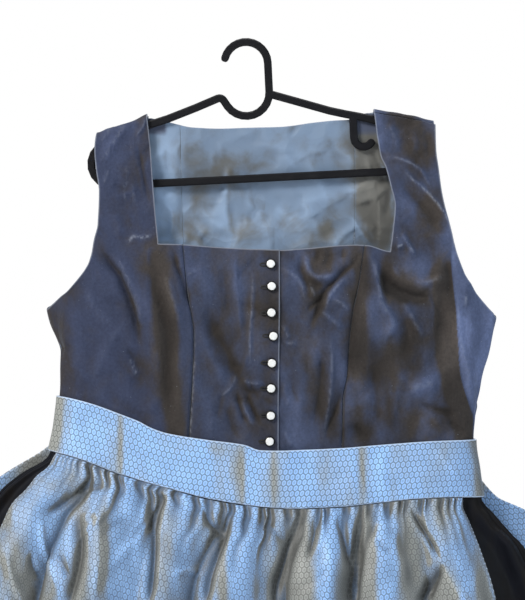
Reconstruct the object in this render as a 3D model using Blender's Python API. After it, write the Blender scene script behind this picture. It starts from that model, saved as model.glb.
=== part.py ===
"""Sleeveless dirndl dress with its apron, hung on a plastic clothes hanger.

The frame: +Z up, the dress's front faces -Y, +X is the viewer's right, and the
origin is where the hanger's hook bears on a rail. Left and right are the
viewer's. Sizes are in millimetres, and the meshes are made in metres.

Every sewn piece is a closed wall of its own. Neighbouring pieces lie on one
shared surface, such as the body's, and stop a seam's gap apart.
"""

import math
from bisect import bisect_right
from typing import Callable, NamedTuple

import bmesh
import bpy
from mathutils import Vector

METRE = 0.001  # one millimetre, in the scene's units

# Cloth thicknesses and the gaps between pieces.
VELVET = 1.8
LINING = 1.0
SATIN = 1.6
APRON_CLOTH = 1.3
BAND_CLOTH = 2.0  # two layers with a stiffener
SEAM_GAP = 0.3
LINING_GAP = 0.8  # between the velvet and the lining behind it
WAIST_GAP = 0.8  # from the waist seam to the cloth above and below it, under the band
SIDE_SEAM = math.pi / 2  # the angle round the body where front and back meet
SIDE_GAP = 0.0045  # half the side seams' gap, as an angle

# The dress's own origin, from the hook's bearing point.
HANG = Vector((2.7, 0.0, -0.5))

COLOURS = {
    "velvet": ((0.045, 0.045, 0.055), 0.85, 0.0),
    "lining": ((0.28, 0.33, 0.38), 0.45, 0.0),
    "skirt_satin": ((0.020, 0.019, 0.024), 0.45, 0.0),
    "apron_cloth": ((0.36, 0.47, 0.62), 0.45, 0.0),
    "hanger_plastic": ((0.010, 0.010, 0.012), 0.40, 0.0),
    "button_metal": ((0.75, 0.76, 0.78), 0.20, 1.0),
}


# ---------------------------------------------------------------- curves

def smooth_curve(*points):
    """A function through (position, value) points that doesn't swing past them."""
    places, values = zip(*sorted(points))
    steps = [
        (values[i + 1] - values[i]) / (places[i + 1] - places[i])
        for i in range(len(places) - 1)
    ]
    slopes = [steps[0]]
    for before, after in zip(steps, steps[1:]):
        level = before * after <= 0
        slopes.append(0.0 if level else 2 * before * after / (before + after))
    slopes.append(steps[-1])

    def value(place):
        if place <= places[0]:
            return values[0]
        if place >= places[-1]:
            return values[-1]
        i = bisect_right(places, place) - 1
        span = places[i + 1] - places[i]
        t = (place - places[i]) / span
        start = (2 * t**3 - 3 * t**2 + 1) * values[i] + (t**3 - 2 * t**2 + t) * span * slopes[i]
        end = (3 * t**2 - 2 * t**3) * values[i + 1] + (t**3 - t**2) * span * slopes[i + 1]
        return start + end

    return value


def ramp(t):
    """0 below 0, 1 above 1, and smooth between."""
    t = min(max(t, 0.0), 1.0)
    return t * t * (3 - 2 * t)


def mix(a, b, t):
    return a + (b - a) * t


def shares(count):
    """The fractions 0 to 1 that part a length into this many steps."""
    return [i / count for i in range(count + 1)]


# ---------------------------------------------------------------- the body's form

BODY_MIDDLE = 24.0  # the waist's middle, right of the dress's origin
ROUNDNESS = 2.6  # the exponent of the body's oval
SHOULDER_FOLD = 8.0  # radius of the strap where it lies over the hanger

# The body's depth over height, in front of and behind the hanger's plane.
FRONT_DEPTH = smooth_curve(
    (-60, 8), (-105, 8), (-170, 14), (-240, 24), (-330, 36), (-400, 35), (-480, 32), (-560, 34)
)
BACK_DEPTH = smooth_curve((-60, 8), (-105, 8), (-170, 13), (-240, 20), (-330, 26), (-560, 34))

# The oval flattens to a sheet above the bust, up to the shoulders.
SHEET_ABOVE, OVAL_BELOW = -180.0, -300.0

# The top line of the shoulders over x, with a stretch above the neck that no cloth reaches.
SHOULDER_LINE = smooth_curve(
    (-184, -106), (-148, -94.5), (-124, -83), (-105, -72), (0, -58), (135, -64),
    (152, -76), (186, -81.5), (229, -91),
)


class Side(NamedTuple):
    """One half of the bodice: its outlines are curves of x over height."""

    name: str
    sign: int
    outline: Callable  # the body's side, and above the underarm the oval's end
    armhole_front: Callable
    armhole_back: Callable
    strap_inner: Callable
    seam_front: Callable
    seam_back: Callable
    shoulder_seam: float  # how far in front of the fold's top the shoulder seam lies
    tip: float  # height of the underarm
    corner: float  # height of the neckline's corner
    seam_top: float  # height of the neckline at the front seam
    fold_line: Callable  # where the front rolls over to the side
    fold_depth: float
    fold_fade: tuple  # heights between which that roll fades out


LEFT = Side(
    name="left",
    sign=-1,
    outline=smooth_curve(
        (-60, -262), (-200, -258), (-300, -250), (-322, -246), (-343, -240), (-374, -228.5),
        (-402, -228.5), (-425, -229), (-460, -233), (-492, -239.5), (-560, -254),
    ),
    armhole_front=smooth_curve(
        (-104, -183.9), (-127, -186.1), (-151, -183.9), (-179, -180.1), (-218, -181.5),
        (-236, -185.8), (-261, -190.7), (-273, -196.8), (-286.5, -207.8), (-306, -228), (-322, -246),
    ),
    armhole_back=smooth_curve(
        (-104, -183.9), (-127, -182), (-179, -174), (-230, -176), (-262, -185), (-286, -202),
        (-306, -226), (-322, -246),
    ),
    strap_inner=smooth_curve(
        (-81.5, -122.5), (-103.5, -119.9), (-126.6, -117.5), (-169, -114.4), (-206, -111.4),
        (-239, -108.3),
    ),
    seam_front=smooth_curve(
        (-240, -78.4), (-295, -72.3), (-353.5, -63.8), (-411, -66.2), (-473, -69.9), (-510, -71)
    ),
    seam_back=smooth_curve((-95, -82), (-200, -80), (-330, -72), (-480, -66)),
    shoulder_seam=2.0,
    tip=-322.0,
    corner=-239.0,
    seam_top=-242.0,
    fold_line=smooth_curve(
        (-280, -203), (-296, -212.6), (-317, -217.5), (-344, -221), (-369, -222), (-402, -223)
    ),
    fold_depth=13.0,
    fold_fade=(-352.0, -392.0),
)

RIGHT = Side(
    name="right",
    sign=1,
    outline=smooth_curve(
        (-60, 318), (-200, 316), (-300, 308), (-331.6, 304.6), (-346, 301), (-371, 296),
        (-395, 289), (-419, 284), (-444, 278.5), (-480, 276), (-520, 281), (-560, 287),
    ),
    armhole_front=smooth_curve(
        (-90.8, 229), (-127, 230), (-151, 233), (-175, 236), (-200, 241), (-224, 247),
        (-249, 253), (-273, 262), (-297, 275), (-314.5, 289), (-331.6, 304.6),
    ),
    armhole_back=smooth_curve(
        (-90.8, 229), (-127, 226), (-175, 228), (-224, 236), (-273, 253), (-300, 272),
        (-317, 288), (-331.6, 304.6),
    ),
    strap_inner=smooth_curve(
        (-76, 152.5), (-85, 154.6), (-111, 158), (-136, 163), (-147, 168), (-173, 175),
        (-196, 180), (-222, 178.5), (-251, 176.5),
    ),
    seam_front=smooth_curve(
        (-243.5, 141.9), (-287, 134.8), (-323, 126.8), (-358, 122.6), (-398, 120.7), (-429, 115.5),
        (-489, 114.2), (-520, 114),
    ),
    seam_back=smooth_curve((-85, 130), (-200, 132), (-330, 124), (-500, 112)),
    shoulder_seam=9.0,
    tip=-331.6,
    corner=-251.0,
    seam_top=-243.5,
    fold_line=smooth_curve((-262, 256), (-300, 261), (-340, 266), (-400, 271), (-456, 275)),
    fold_depth=8.0,
    fold_fade=(-430.0, -470.0),
)

NECKLINE = smooth_curve(
    (-108.3, -239), (-78, -242), (-9, -247), (41, -249), (70, -247), (133, -242.5), (145, -243),
    (166, -249), (176.5, -251),
)
BACK_NECK = smooth_curve(
    (-122, -86.5), (-103, -90.5), (-87, -94.5), (-67.5, -98.6), (-33, -100), (0, -99), (40, -98),
    (79, -93), (109, -90), (123, -89.4), (137.5, -83), (152.5, -80),
)

# The busts' fullness: middle x and height, how far it stands out and how wide it spreads.
BUSTS = [(-92.0, -318.0, 7.0, 46.0), (152.0, -322.0, 7.0, 48.0)]

# The apron's waistband, over x. The waist seam runs under it.
BAND_TOP = smooth_curve(
    (-240, -426), (-228, -427.5), (-200, -433.6), (-154, -448.7), (-134, -456), (-120, -463),
    (-99, -470), (-49, -478), (-4, -484), (15.5, -490.5), (35, -491), (70, -490), (114, -488),
    (164, -484), (228, -480), (279, -479),
)
BAND_BOTTOM = smooth_curve(
    (-243, -492), (-229, -495), (-211, -499), (-180, -509), (-160, -516.5), (-130, -525.5),
    (-89, -537), (-39, -550), (15.5, -558.5), (57, -561), (110, -559), (153, -554.5), (196, -550),
    (239, -548.5), (289, -550),
)
SEAM_UNDER_BAND = 25.0


def side_at(turn):
    """The half of the body that an angle round it lies in; 0 is the front's middle."""
    return LEFT if math.sin(turn) < 0 else RIGHT


def oval(turn, power=ROUNDNESS):
    """The unit oval's x and depth at an angle round it, the front at negative depth."""
    reach = (abs(math.sin(turn)) ** power + abs(math.cos(turn)) ** power) ** (-1 / power)
    return math.sin(turn) * reach, -math.cos(turn) * reach


def oval_turn(share, power=ROUNDNESS):
    """The angle at which the oval's front reaches this share of its half width."""
    across = min(abs(share), 1.0) ** power
    return math.copysign(math.atan2(across ** (1 / power), (1 - across) ** (1 / power)), share)


def off_front(turn):
    """How far an angle round the body is from the front's middle, 0 to pi."""
    return math.acos(math.cos(turn))


def body_point(turn, z):
    """A point of the body's outer surface."""
    side = side_at(turn)
    across, depth = oval(turn)
    x = BODY_MIDDLE + abs(side.outline(z) - BODY_MIDDLE) * across
    front = math.cos(turn) > 0
    roundness = ramp((SHEET_ABOVE - z) / (SHEET_ABOVE - OVAL_BELOW))
    level = math.copysign(1.0, depth)
    y = (FRONT_DEPTH(z) if front else BACK_DEPTH(z)) * mix(level, depth, roundness)
    if front:
        for bust_x, bust_z, fullness, spread in BUSTS:
            away = ((x - bust_x) ** 2 + (z - bust_z) ** 2) / spread**2
            y -= fullness * math.exp(-away)
    return Vector((x, y + side_roll(side, turn, z), z))


def side_roll(side, turn, z):
    """How far the body's side lies behind the fold that the front rolls over."""
    start = abs(front_turn(side.fold_line(z), z))
    away = off_front(turn)
    top, bottom = side.fold_fade
    strength = ramp((z - bottom) / (top - bottom)) * ramp((-262 - z) / 30)
    onset = ramp((away - start) / math.radians(9))
    fade = 1 - ramp((away - math.radians(100)) / math.radians(45))
    return side.fold_depth * strength * onset * fade


def front_turn(x, z):
    """The angle of the front's point at this x and height."""
    side = LEFT if x < BODY_MIDDLE else RIGHT
    return oval_turn((x - BODY_MIDDLE) / abs(side.outline(z) - BODY_MIDDLE))


def back_turn(x, z):
    """The angle of the back's point at this x and height."""
    turn = front_turn(x, z)
    return math.copysign(math.pi, turn) - turn


def shoulder_point(x, path):
    """A point of a strap; the path is 0 on the fold's top, and negative in front of it."""
    bend = min(abs(path) / SHOULDER_FOLD, math.pi / 2)
    drop = SHOULDER_FOLD * (1 - math.cos(bend))
    drop += max(abs(path) - SHOULDER_FOLD * math.pi / 2, 0.0)
    z = SHOULDER_LINE(x) - drop
    turn = front_turn(x, z) if path < 0 else back_turn(x, z)
    return Vector((x, body_point(turn, z).y * math.sin(bend), z))


def path_down(x, z):
    """The way along the strap from the fold's top down to this height."""
    drop = SHOULDER_LINE(x) - z
    if drop < SHOULDER_FOLD:
        return SHOULDER_FOLD * math.acos(1 - max(drop, 0.0) / SHOULDER_FOLD)
    return SHOULDER_FOLD * math.pi / 2 + drop - SHOULDER_FOLD


def waist_height(x, back=False):
    """The waist seam's height: it follows the band in front and is straight behind."""
    if back:
        ends = LEFT.outline(-485), RIGHT.outline(-485)
        t = (x - ends[0]) / (ends[1] - ends[0])
        return mix(BAND_TOP(ends[0]), BAND_TOP(ends[1]), t) - SEAM_UNDER_BAND
    return BAND_TOP(x) - SEAM_UNDER_BAND


# ---------------------------------------------------------------- walls

class Spot(NamedTuple):
    """A point of a surface and the way out of it."""

    point: Vector
    out: Vector

    def lifted(self, height):
        return self.point + self.out * height


def spot(surface, a, b, step_a, step_b=0.5):
    """The surface's point at (a, b); a runs rightwards in front, and b upwards."""
    along = surface(a + step_a, b) - surface(a - step_a, b)
    up = surface(a, b + step_b) - surface(a, b - step_b)
    return Spot(surface(a, b), along.cross(up).normalized())


def body_spot(turn, z):
    return spot(body_point, turn, z, 0.004)


def front_spot(x, z):
    """The front's spot at this x and height, straps included."""
    if z > SHEET_ABOVE:
        return spot(shoulder_point, x, -path_down(x, z), 0.5)
    return body_spot(front_turn(x, z), z)


def back_spot(x, z):
    if z > SHEET_ABOVE:
        return spot(shoulder_point, x, path_down(x, z), 0.5)
    return body_spot(back_turn(x, z), z)


def new_object(name, mesh, slot):
    item = bpy.data.objects.new(name, mesh)
    bpy.context.collection.objects.link(item)
    mesh.materials.append(material(slot))
    return item


def material(slot):
    if slot in bpy.data.materials:
        return bpy.data.materials[slot]
    made = bpy.data.materials.new(slot)
    made.use_nodes = True
    colour, roughness, metallic = COLOURS[slot]
    shader = made.node_tree.nodes["Principled BSDF"]
    shader.inputs["Base Color"].default_value = (*colour, 1.0)
    shader.inputs["Roughness"].default_value = roughness
    shader.inputs["Metallic"].default_value = metallic
    return made


def cells_between(upper, lower):
    """The faces between two rows of corners; a row may have twice the other's steps."""
    if len(upper) == len(lower):
        for j in range(len(upper) - 1):
            corners = (upper[j], upper[j + 1], lower[j + 1], lower[j])
            if None not in corners:
                yield corners
        return
    fine, coarse = (upper, lower) if len(upper) > len(lower) else (lower, upper)
    for j in range(len(coarse) - 1):
        left, middle, right = fine[2 * j : 2 * j + 3]
        yield left, middle, coarse[j]
        yield middle, coarse[j + 1], coarse[j]
        yield middle, right, coarse[j + 1]


def wall(name, slot, rows, thickness, lift=0.0):
    """A closed cloth wall on rows of spots; a None leaves its corner of the grid out."""
    build = bmesh.new()
    outer, inner = [], []
    for row in rows:
        outer.append([s and build.verts.new(s.lifted(lift)) for s in row])
        inner.append([s and build.verts.new(s.lifted(lift - thickness)) for s in row])
    for face_side in (outer, inner):
        for upper, lower in zip(face_side, face_side[1:]):
            for corners in cells_between(upper, lower):
                build.faces.new(corners)
    twin = {}
    for outer_row, inner_row in zip(outer, inner):
        twin.update({a: b for a, b in zip(outer_row, inner_row) if a})
    for edge in [e for e in build.edges if e.is_boundary and e.verts[0] in twin]:
        a, b = edge.verts
        build.faces.new((a, b, twin[b], twin[a]))
    bmesh.ops.recalc_face_normals(build, faces=build.faces)
    for vert in build.verts:
        vert.co = (vert.co + HANG) * METRE
    mesh = bpy.data.meshes.new(name)
    build.to_mesh(mesh)
    build.free()
    mesh.shade_smooth()
    mesh.set_sharp_from_angle(angle=math.radians(50))
    return new_object(name, mesh, slot)


# ---------------------------------------------------------------- bodice

# How a side panel's columns share its width: evenly over the strap at the neckline's
# corner, and closer at the side's roll further down.
STRAP_COLUMNS = 5
TOP_SHARES = [0.0, 0.15, 0.30, 0.45, 0.60, 0.75, 0.88, 1.0]
LOW_SHARES = [0.0, 0.13, 0.25, 0.36, 0.47, 0.62, 0.81, 1.0]
STRAP_ROWS = 6
BODICE_ROWS = 9  # from the neckline's corner to the waist
ARMHOLE_ROWS = 4  # those down to the underarm
BACK_ROWS = 13
BACK_ARMHOLE_ROWS = 8  # those down to the underarm

# Where the left front laps over the right, and how far the buttons' edge stands off it.
LAP_START, LAP_EDGE = 17.0, 39.6
LAP_RISE = VELVET + 0.5


def levels(top, bottom, count):
    return [mix(top, bottom, t) for t in shares(count)]


def side_levels(top, tip, bottom, above, count):
    """Heights down a panel's outer edge, closer towards the underarm's tip, with one on it."""
    armhole = [mix(top, tip, 1 - (1 - t) ** 1.3) for t in shares(above)]
    return armhole + levels(tip, bottom, count - above)[1:]


def strap_rows(side, front):
    """The strap's rows from its shoulder seam down to the neckline's corner."""
    rows = []
    gap = SEAM_GAP / 2
    quarter = SHOULDER_FOLD * math.pi / 2
    top = SHOULDER_LINE(side.armhole_front(-104)), SHOULDER_LINE(side.strap_inner(-82))
    if front:
        paths = [-side.shoulder_seam - gap, -(side.shoulder_seam + quarter) / 2, -quarter]
    else:
        paths = [-side.shoulder_seam + gap, quarter * 0.4]
    for path in paths:
        ends = side.armhole_front(top[0]), side.strap_inner(top[1])
        rows.append([
            spot(shoulder_point, mix(*ends, t), path, 0.5) for t in shares(STRAP_COLUMNS)
        ])
    return rows


def front_side_rows(side):
    """A front side panel: its strap, then its rows from the corner down to the waist."""
    gap = side.sign * SEAM_GAP / 2
    rows = strap_rows(side, front=True)
    for down in shares(STRAP_ROWS)[1:-1]:
        row = []
        for t in shares(STRAP_COLUMNS):
            guess = mix(-100, side.corner, down)
            x = mix(side.armhole_front(guess), side.strap_inner(guess), t)
            row.append(front_spot(x, mix(SHOULDER_LINE(x) - SHOULDER_FOLD, side.corner, down)))
        rows.append(row)
    rows = [row + [None] * (len(TOP_SHARES) - len(row)) for row in rows]
    waist = waist_height(side.outline(-485)) + WAIST_GAP
    outer = side_levels(side.corner, side.tip, waist, ARMHOLE_ROWS, BODICE_ROWS)
    inner = levels(side.seam_top, waist_height(side.seam_front(-500)), BODICE_ROWS)
    for i, (outer_z, inner_z) in enumerate(zip(outer, inner)):
        end = front_turn(side.seam_front(inner_z) + gap, inner_z)
        if outer_z > side.tip + 1:
            start = front_turn(side.armhole_front(outer_z), outer_z)
        else:
            start = side.sign * (SIDE_SEAM - SIDE_GAP)
        row = []
        for top_share, low_share in zip(TOP_SHARES, LOW_SHARES):
            t = mix(top_share, low_share, min(i / ARMHOLE_ROWS, 1.0))
            turn = mix(start, end, t)
            row.append(fitted_spot(turn, mix(outer_z, inner_z, t), i == 0, i == BODICE_ROWS))
        rows.append(row)
    return rows


def fitted_spot(turn, z, on_neckline, on_waist):
    """A front spot that a row's end moves onto the neckline or the waist seam."""
    x = body_point(turn, z).x
    if on_neckline:
        z = min(NECKLINE(x), z) if x < 0 else NECKLINE(x)
    if on_waist:
        z = waist_height(x) + WAIST_GAP
    return body_spot(turn, z)


def front_centre_rows(left_x, right_x, columns, left_levels, right_levels):
    """A front middle panel between two edges, each a curve of x over height."""
    rows = []
    for i, (left_z, right_z) in enumerate(zip(left_levels, right_levels)):
        row = []
        for t in columns:
            x = mix(left_x(left_z), right_x(right_z), t)
            z = mix(left_z, right_z, t)
            row.append(fitted_spot(front_turn(x, z), z, i == 0, i == BODICE_ROWS))
        rows.append(row)
    return rows


def back_side_rows(side):
    """A back side panel, from the shoulder seam in front over the top to the waist."""
    gap = side.sign * SEAM_GAP / 2
    rows = strap_rows(side, front=False)
    rows = [row + [None] * (len(TOP_SHARES) - len(row)) for row in rows]
    neck = []
    inner_x = side.strap_inner(-82)
    for t in shares(STRAP_COLUMNS):
        x = mix(side.armhole_back(-112), inner_x, t)
        neck.append(back_spot(x, mix(SHOULDER_LINE(x) - SHOULDER_FOLD, BACK_NECK(inner_x), t**4)))
    seam_x = side.seam_back(-95) + gap
    for t in (0.5, 1.0):
        x = mix(inner_x, seam_x, t)
        neck.append(back_spot(x, BACK_NECK(x)))
    rows.append(neck)
    outer_top = SHOULDER_LINE(side.armhole_back(-112)) - SHOULDER_FOLD
    waist = waist_height(side.outline(-485)) + WAIST_GAP
    outer = side_levels(outer_top, side.tip, waist, BACK_ARMHOLE_ROWS, BACK_ROWS)
    inner = levels(BACK_NECK(seam_x), waist_height(seam_x, back=True), BACK_ROWS)
    for i in range(1, BACK_ROWS + 1):
        end = side.seam_back(inner[i]) + gap
        row = []
        for top_share, low_share in zip(TOP_SHARES, LOW_SHARES):
            t = mix(top_share, low_share, min(i / BACK_ARMHOLE_ROWS, 1.0))
            z = mix(outer[i], inner[i], t)
            if outer[i] > side.tip + 1:
                start = back_turn(side.armhole_back(outer[i]), outer[i])
            else:
                start = side.sign * (SIDE_SEAM + SIDE_GAP)
            turn = mix(start, back_turn(end, inner[i]), t)
            if i == BACK_ROWS:
                z = waist_height(body_point(turn, z).x, back=True) + WAIST_GAP
            row.append(sheet_spot(turn, z))
        rows.append(row)
    return rows


def sheet_spot(turn, z):
    """A back spot that follows the straps' own form above the bust."""
    if z > SHEET_ABOVE:
        return back_spot(body_point(turn, z).x, z)
    return body_spot(turn, z)


def back_centre_rows():
    left = levels(BACK_NECK(-82), waist_height(-66, back=True), BACK_ROWS)
    right = levels(BACK_NECK(130), waist_height(112, back=True), BACK_ROWS)
    rows = []
    gap = SEAM_GAP / 2
    for i, (left_z, right_z) in enumerate(zip(left, right)):
        row = []
        for t in shares(8):
            x = mix(LEFT.seam_back(left_z) + gap, RIGHT.seam_back(right_z) - gap, t)
            z = mix(left_z, right_z, t)
            if i == 0:
                z = BACK_NECK(x)
            if i == BACK_ROWS:
                z = waist_height(x, back=True) + WAIST_GAP
            row.append(back_spot(x, z))
        rows.append(row)
    return rows


def lap_lift(point):
    """How far the lapped front stands off the body's surface."""
    return LAP_RISE * ramp((point.x - LAP_START + 14) / 13)


def build_bodice():
    for side in (LEFT, RIGHT):
        wall(f"bodice_side_front_{side.name}", "velvet", front_side_rows(side), VELVET)
        back = back_side_rows(side)
        wall(f"bodice_side_back_{side.name}", "velvet", back, VELVET)
        wall(f"lining_side_back_{side.name}", "lining", back, LINING, -VELVET - LINING_GAP)
    centre = back_centre_rows()
    wall("bodice_centre_back", "velvet", centre, VELVET)
    wall("lining_centre_back", "lining", centre, LINING, -VELVET - LINING_GAP)

    gap = SEAM_GAP / 2
    seam_left = levels(LEFT.seam_top, waist_height(LEFT.seam_front(-500)), BODICE_ROWS)
    seam_right = levels(RIGHT.seam_top, waist_height(RIGHT.seam_front(-500)), BODICE_ROWS)
    middle = levels(NECKLINE(LAP_EDGE), waist_height(LAP_EDGE), BODICE_ROWS)
    lapped = front_centre_rows(
        lambda z: LEFT.seam_front(z) + gap, lambda z: LAP_EDGE - 1.5 * ramp((-300 - z) / 150),
        [0.0, 0.22, 0.44, 0.60, 0.72, 0.81, 0.90, 1.0], seam_left, middle,
    )
    lapped = [[Spot(s.lifted(lap_lift(s.point)), s.out) for s in row] for row in lapped]
    wall("bodice_centre_front_left", "velvet", lapped, VELVET)
    under = front_centre_rows(
        lambda z: LAP_START, lambda z: RIGHT.seam_front(z) - gap, shares(6), middle, seam_right
    )
    wall("bodice_centre_front_right", "velvet", under, VELVET)


# ---------------------------------------------------------------- buttons

BUTTON_RIM = 6.4
BUTTON_FACE = 5.0
BUTTON_STANDOFF = 1.2  # from the cloth to the rim's back
BUTTONS = [
    (28.5, -266.8), (29.6, -293.7), (29.2, -324.9), (31.6, -352.9), (29.8, -385.5),
    (28.9, -415.8), (28.5, -448.7), (27.2, -480.0),
]
BUTTON_SIDES = 12


def button(name, x, z):
    """A domed button with a rim and a short shank, its face along its local +Z."""
    profile = [
        (0.0, 3.4), (BUTTON_FACE * 0.7, 3.0), (BUTTON_FACE, 2.0), (BUTTON_RIM, 1.4),
        (BUTTON_RIM, 0.2), (1.6, 0.0), (1.6, -BUTTON_STANDOFF + SEAM_GAP),
        (0.0, -BUTTON_STANDOFF + SEAM_GAP),
    ]
    build = bmesh.new()
    chain = [build.verts.new((r * METRE, 0, h * METRE)) for r, h in profile]
    edges = [build.edges.new(pair) for pair in zip(chain, chain[1:])]
    bmesh.ops.spin(
        build, geom=chain + edges, cent=(0, 0, 0), axis=(0, 0, 1), steps=BUTTON_SIDES,
        angle=2 * math.pi, use_merge=True, use_duplicate=False,
    )
    bmesh.ops.remove_doubles(build, verts=build.verts, dist=1e-6)
    bmesh.ops.recalc_face_normals(build, faces=build.faces)
    mesh = bpy.data.meshes.new(name)
    build.to_mesh(mesh)
    build.free()
    mesh.shade_smooth()
    mesh.set_sharp_from_angle(angle=math.radians(40))
    item = new_object(name, mesh, "button_metal")
    place = front_spot(x, z)
    base = place.lifted(lap_lift(place.point) + BUTTON_STANDOFF)
    item.location = (base + HANG) * METRE
    item.rotation_euler = place.out.to_track_quat("Z", "Y").to_euler()


# ---------------------------------------------------------------- skirt

HEM = -1180.0
SKIRT_LENGTH = 700.0  # path units from the waist seam to the hem
RING_POWER = 2.3

# The skirt's ring below the waist seam: its sides' x and its depth, over the path down.
RING_LEFT = smooth_curve(
    (0, -234), (45, -247), (62, -269), (89, -302), (142, -337), (228, -364), (350, -395),
    (490, -413), (700, -430),
)
RING_RIGHT = smooth_curve(
    (0, 276), (45, 283), (66, 298), (95, 322), (109, 335), (160, 362), (228, 386), (350, 413),
    (490, 426), (700, 438),
)
RING_DEPTH = smooth_curve(
    (0, 32), (40, 34), (92, 48), (142, 56), (228, 64), (350, 72), (490, 80), (700, 90)
)

# The skirt's folds by angle from the front's middle, in degrees, and how far each ridge
# stands out (1) or valley lies in (-1). Those in front stay low under the apron.
FRONT_FOLDS = [
    (-90, 0.2), (-82, -0.8), (-74, 0.7), (-66, -0.5), (-52, 0.2), (-40, -0.2), (-28, 0.2),
    (-15, -0.2), (0, 0.2), (13, -0.2), (26, 0.2), (38, -0.2), (48, 0.2), (58, -0.6), (67, 0.8),
    (78, -0.8), (90, 0.2),
]
BACK_FOLDS = [
    (90, 0.2), (99, -0.8), (108, 0.9), (119, -0.9), (130, 0.7), (140, -0.6), (149, 1.0),
    (161, -1.0), (171, 0.8), (180, -0.7), (190, 0.9), (200, -1.0), (211, 0.8), (221, -0.8),
    (232, 1.0), (243, -0.7), (253, 0.9), (262, -0.9), (270, 0.2),
]
FOLD_HEIGHT = smooth_curve((0, 0), (36, 0.6), (60, 3), (92, 6), (228, 11), (450, 16), (700, 20))


def folds(knots, place):
    """The height at a place between ridges and valleys, each joined to the next by a wave."""
    for (a, low), (b, high) in zip(knots, knots[1:]):
        if place <= b:
            t = min(max((place - a) / (b - a), 0.0), 1.0)
            return mix(low, high, 0.5 - 0.5 * math.cos(math.pi * t))
    return knots[-1][1]


def seam_height(turn):
    """The waist seam's height at an angle round the body."""
    x = BODY_MIDDLE + abs(side_at(turn).outline(-485) - BODY_MIDDLE) * oval(turn)[0]
    return waist_height(x, back=off_front(turn) > SIDE_SEAM)


def ring_height(turn, down):
    top = seam_height(turn)
    return top - down * (top - HEM) / SKIRT_LENGTH


def ring_middle(down):
    return (RING_LEFT(down) + RING_RIGHT(down)) / 2


def ring_half(down):
    return (RING_RIGHT(down) - RING_LEFT(down)) / 2


def ring_point(turn, down):
    """The skirt's form without its folds: the body's at the waist, then a wider ring."""
    z = ring_height(turn, down)
    behind = ramp((off_front(turn) - math.radians(117)) / math.radians(14))
    flare = ramp((down - mix(38, 4, behind)) / mix(30, 48, behind))
    across, depth = oval(turn, RING_POWER)
    own = Vector((ring_middle(down) + ring_half(down) * across, RING_DEPTH(down) * depth, z))
    if flare == 1.0:
        return own
    return body_point(turn, z).lerp(own, flare)


def ring_out(turn, down):
    """The level way out of the skirt's ring."""
    return Vector((
        math.sin(turn) / ring_half(down), -math.cos(turn) / RING_DEPTH(down), 0.0
    )).normalized()


def skirt_point(turn, down):
    degrees = math.degrees(turn)
    if abs(degrees) <= 90:
        rise = folds(FRONT_FOLDS, degrees)
    else:
        rise = folds(BACK_FOLDS, degrees % 360)
    hidden = ramp((62 - abs(degrees)) / 12)
    height = FOLD_HEIGHT(down) * mix(1.0, 0.6, hidden)
    return ring_point(turn, down) + ring_out(turn, down) * height * rise


def skirt_rows(start, end, columns, downs):
    rows = []
    for down in downs:
        row = []
        for t in shares(columns):
            turn = mix(start, end, t)
            row.append(spot(skirt_point, turn, down, 0.004, -0.5))
        rows.append(row)
    return rows


def build_skirt():
    downs = [WAIST_GAP, 20, 41, 56, 78, 110, 160, 240, 360, 520, SKIRT_LENGTH]
    front = skirt_rows(SIDE_GAP - SIDE_SEAM, SIDE_SEAM - SIDE_GAP, 48, downs)
    wall("skirt_front", "skirt_satin", front, SATIN)
    back = skirt_rows(SIDE_SEAM + SIDE_GAP, 3 * SIDE_SEAM - SIDE_GAP, 64, downs)
    wall("skirt_back", "skirt_satin", back, SATIN)


# ---------------------------------------------------------------- apron

BAND_LIFT = 3.8  # the band's outer face, off the body
BAND_WIDTH = 67.0
APRON_GAP = 0.8  # from the band's lower edge, whose chords the apron's puckers cross
BAND_ENDS = (math.radians(-137), math.radians(134.5))
APRON_LENGTH = 640.0

# The apron's side edges: x over the path down from the waist seam.
APRON_LEFT = smooth_curve(
    (38, -229), (61, -247), (77, -260), (93, -275), (112, -285), (125, -291), (138, -297),
    (250, -327), (400, -350), (640, -370),
)
APRON_RIGHT = smooth_curve(
    (38, 251), (68, 263), (92, 271), (116, 278.5), (144, 286), (170, 292), (300, 316), (640, 346)
)

# The apron's big folds: place across it at the band and lower down, and height.
APRON_FOLDS = [
    (0.00, 0.000, 0.40), (0.07, 0.074, 0.85), (0.171, 0.157, 0.0), (0.245, 0.235, 1.0),
    (0.328, 0.336, 0.12), (0.385, 0.384, 0.75), (0.470, 0.435, 0.0), (0.520, 0.503, 0.9),
    (0.616, 0.598, 0.0), (0.690, 0.670, 1.0), (0.765, 0.718, 0.05), (0.800, 0.789, 0.7),
    (0.852, 0.861, 0.1), (0.930, 0.932, 1.0), (1.00, 1.000, 0.35),
]
APRON_FOLD_HEIGHT = smooth_curve((40, 0), (56, 3), (75, 7), (112, 12), (160, 17), (640, 27))
APRON_STANDOFF = smooth_curve((38, 3.4), (48, 6.3), (75, 9), (160, 14), (640, 20))
PUCKERS = 36
PUCKER_HEIGHT = smooth_curve((38, 0.2), (47, 1.5), (62, 1.1), (95, 0.3), (130, 0))


def apron_turn(across, down):
    """The angle round the skirt's ring of a place across the apron, 0 to 1."""
    ends = []
    for edge in (APRON_LEFT, APRON_RIGHT):
        share = (edge(down) - ring_middle(down)) / ring_half(down)
        ends.append(oval_turn(share, RING_POWER))
    return mix(*ends, across)


def apron_point(across, down):
    turn = apron_turn(across, down)
    settle = ramp((down - 45) / 110)
    knots = [(mix(high, low, settle), rise) for high, low, rise in APRON_FOLDS]
    rise = APRON_STANDOFF(down) + APRON_FOLD_HEIGHT(down) * folds(knots, across)
    rise -= PUCKER_HEIGHT(down) * math.cos(2 * math.pi * PUCKERS * across)
    return ring_point(turn, down) + ring_out(turn, down) * rise


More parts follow.
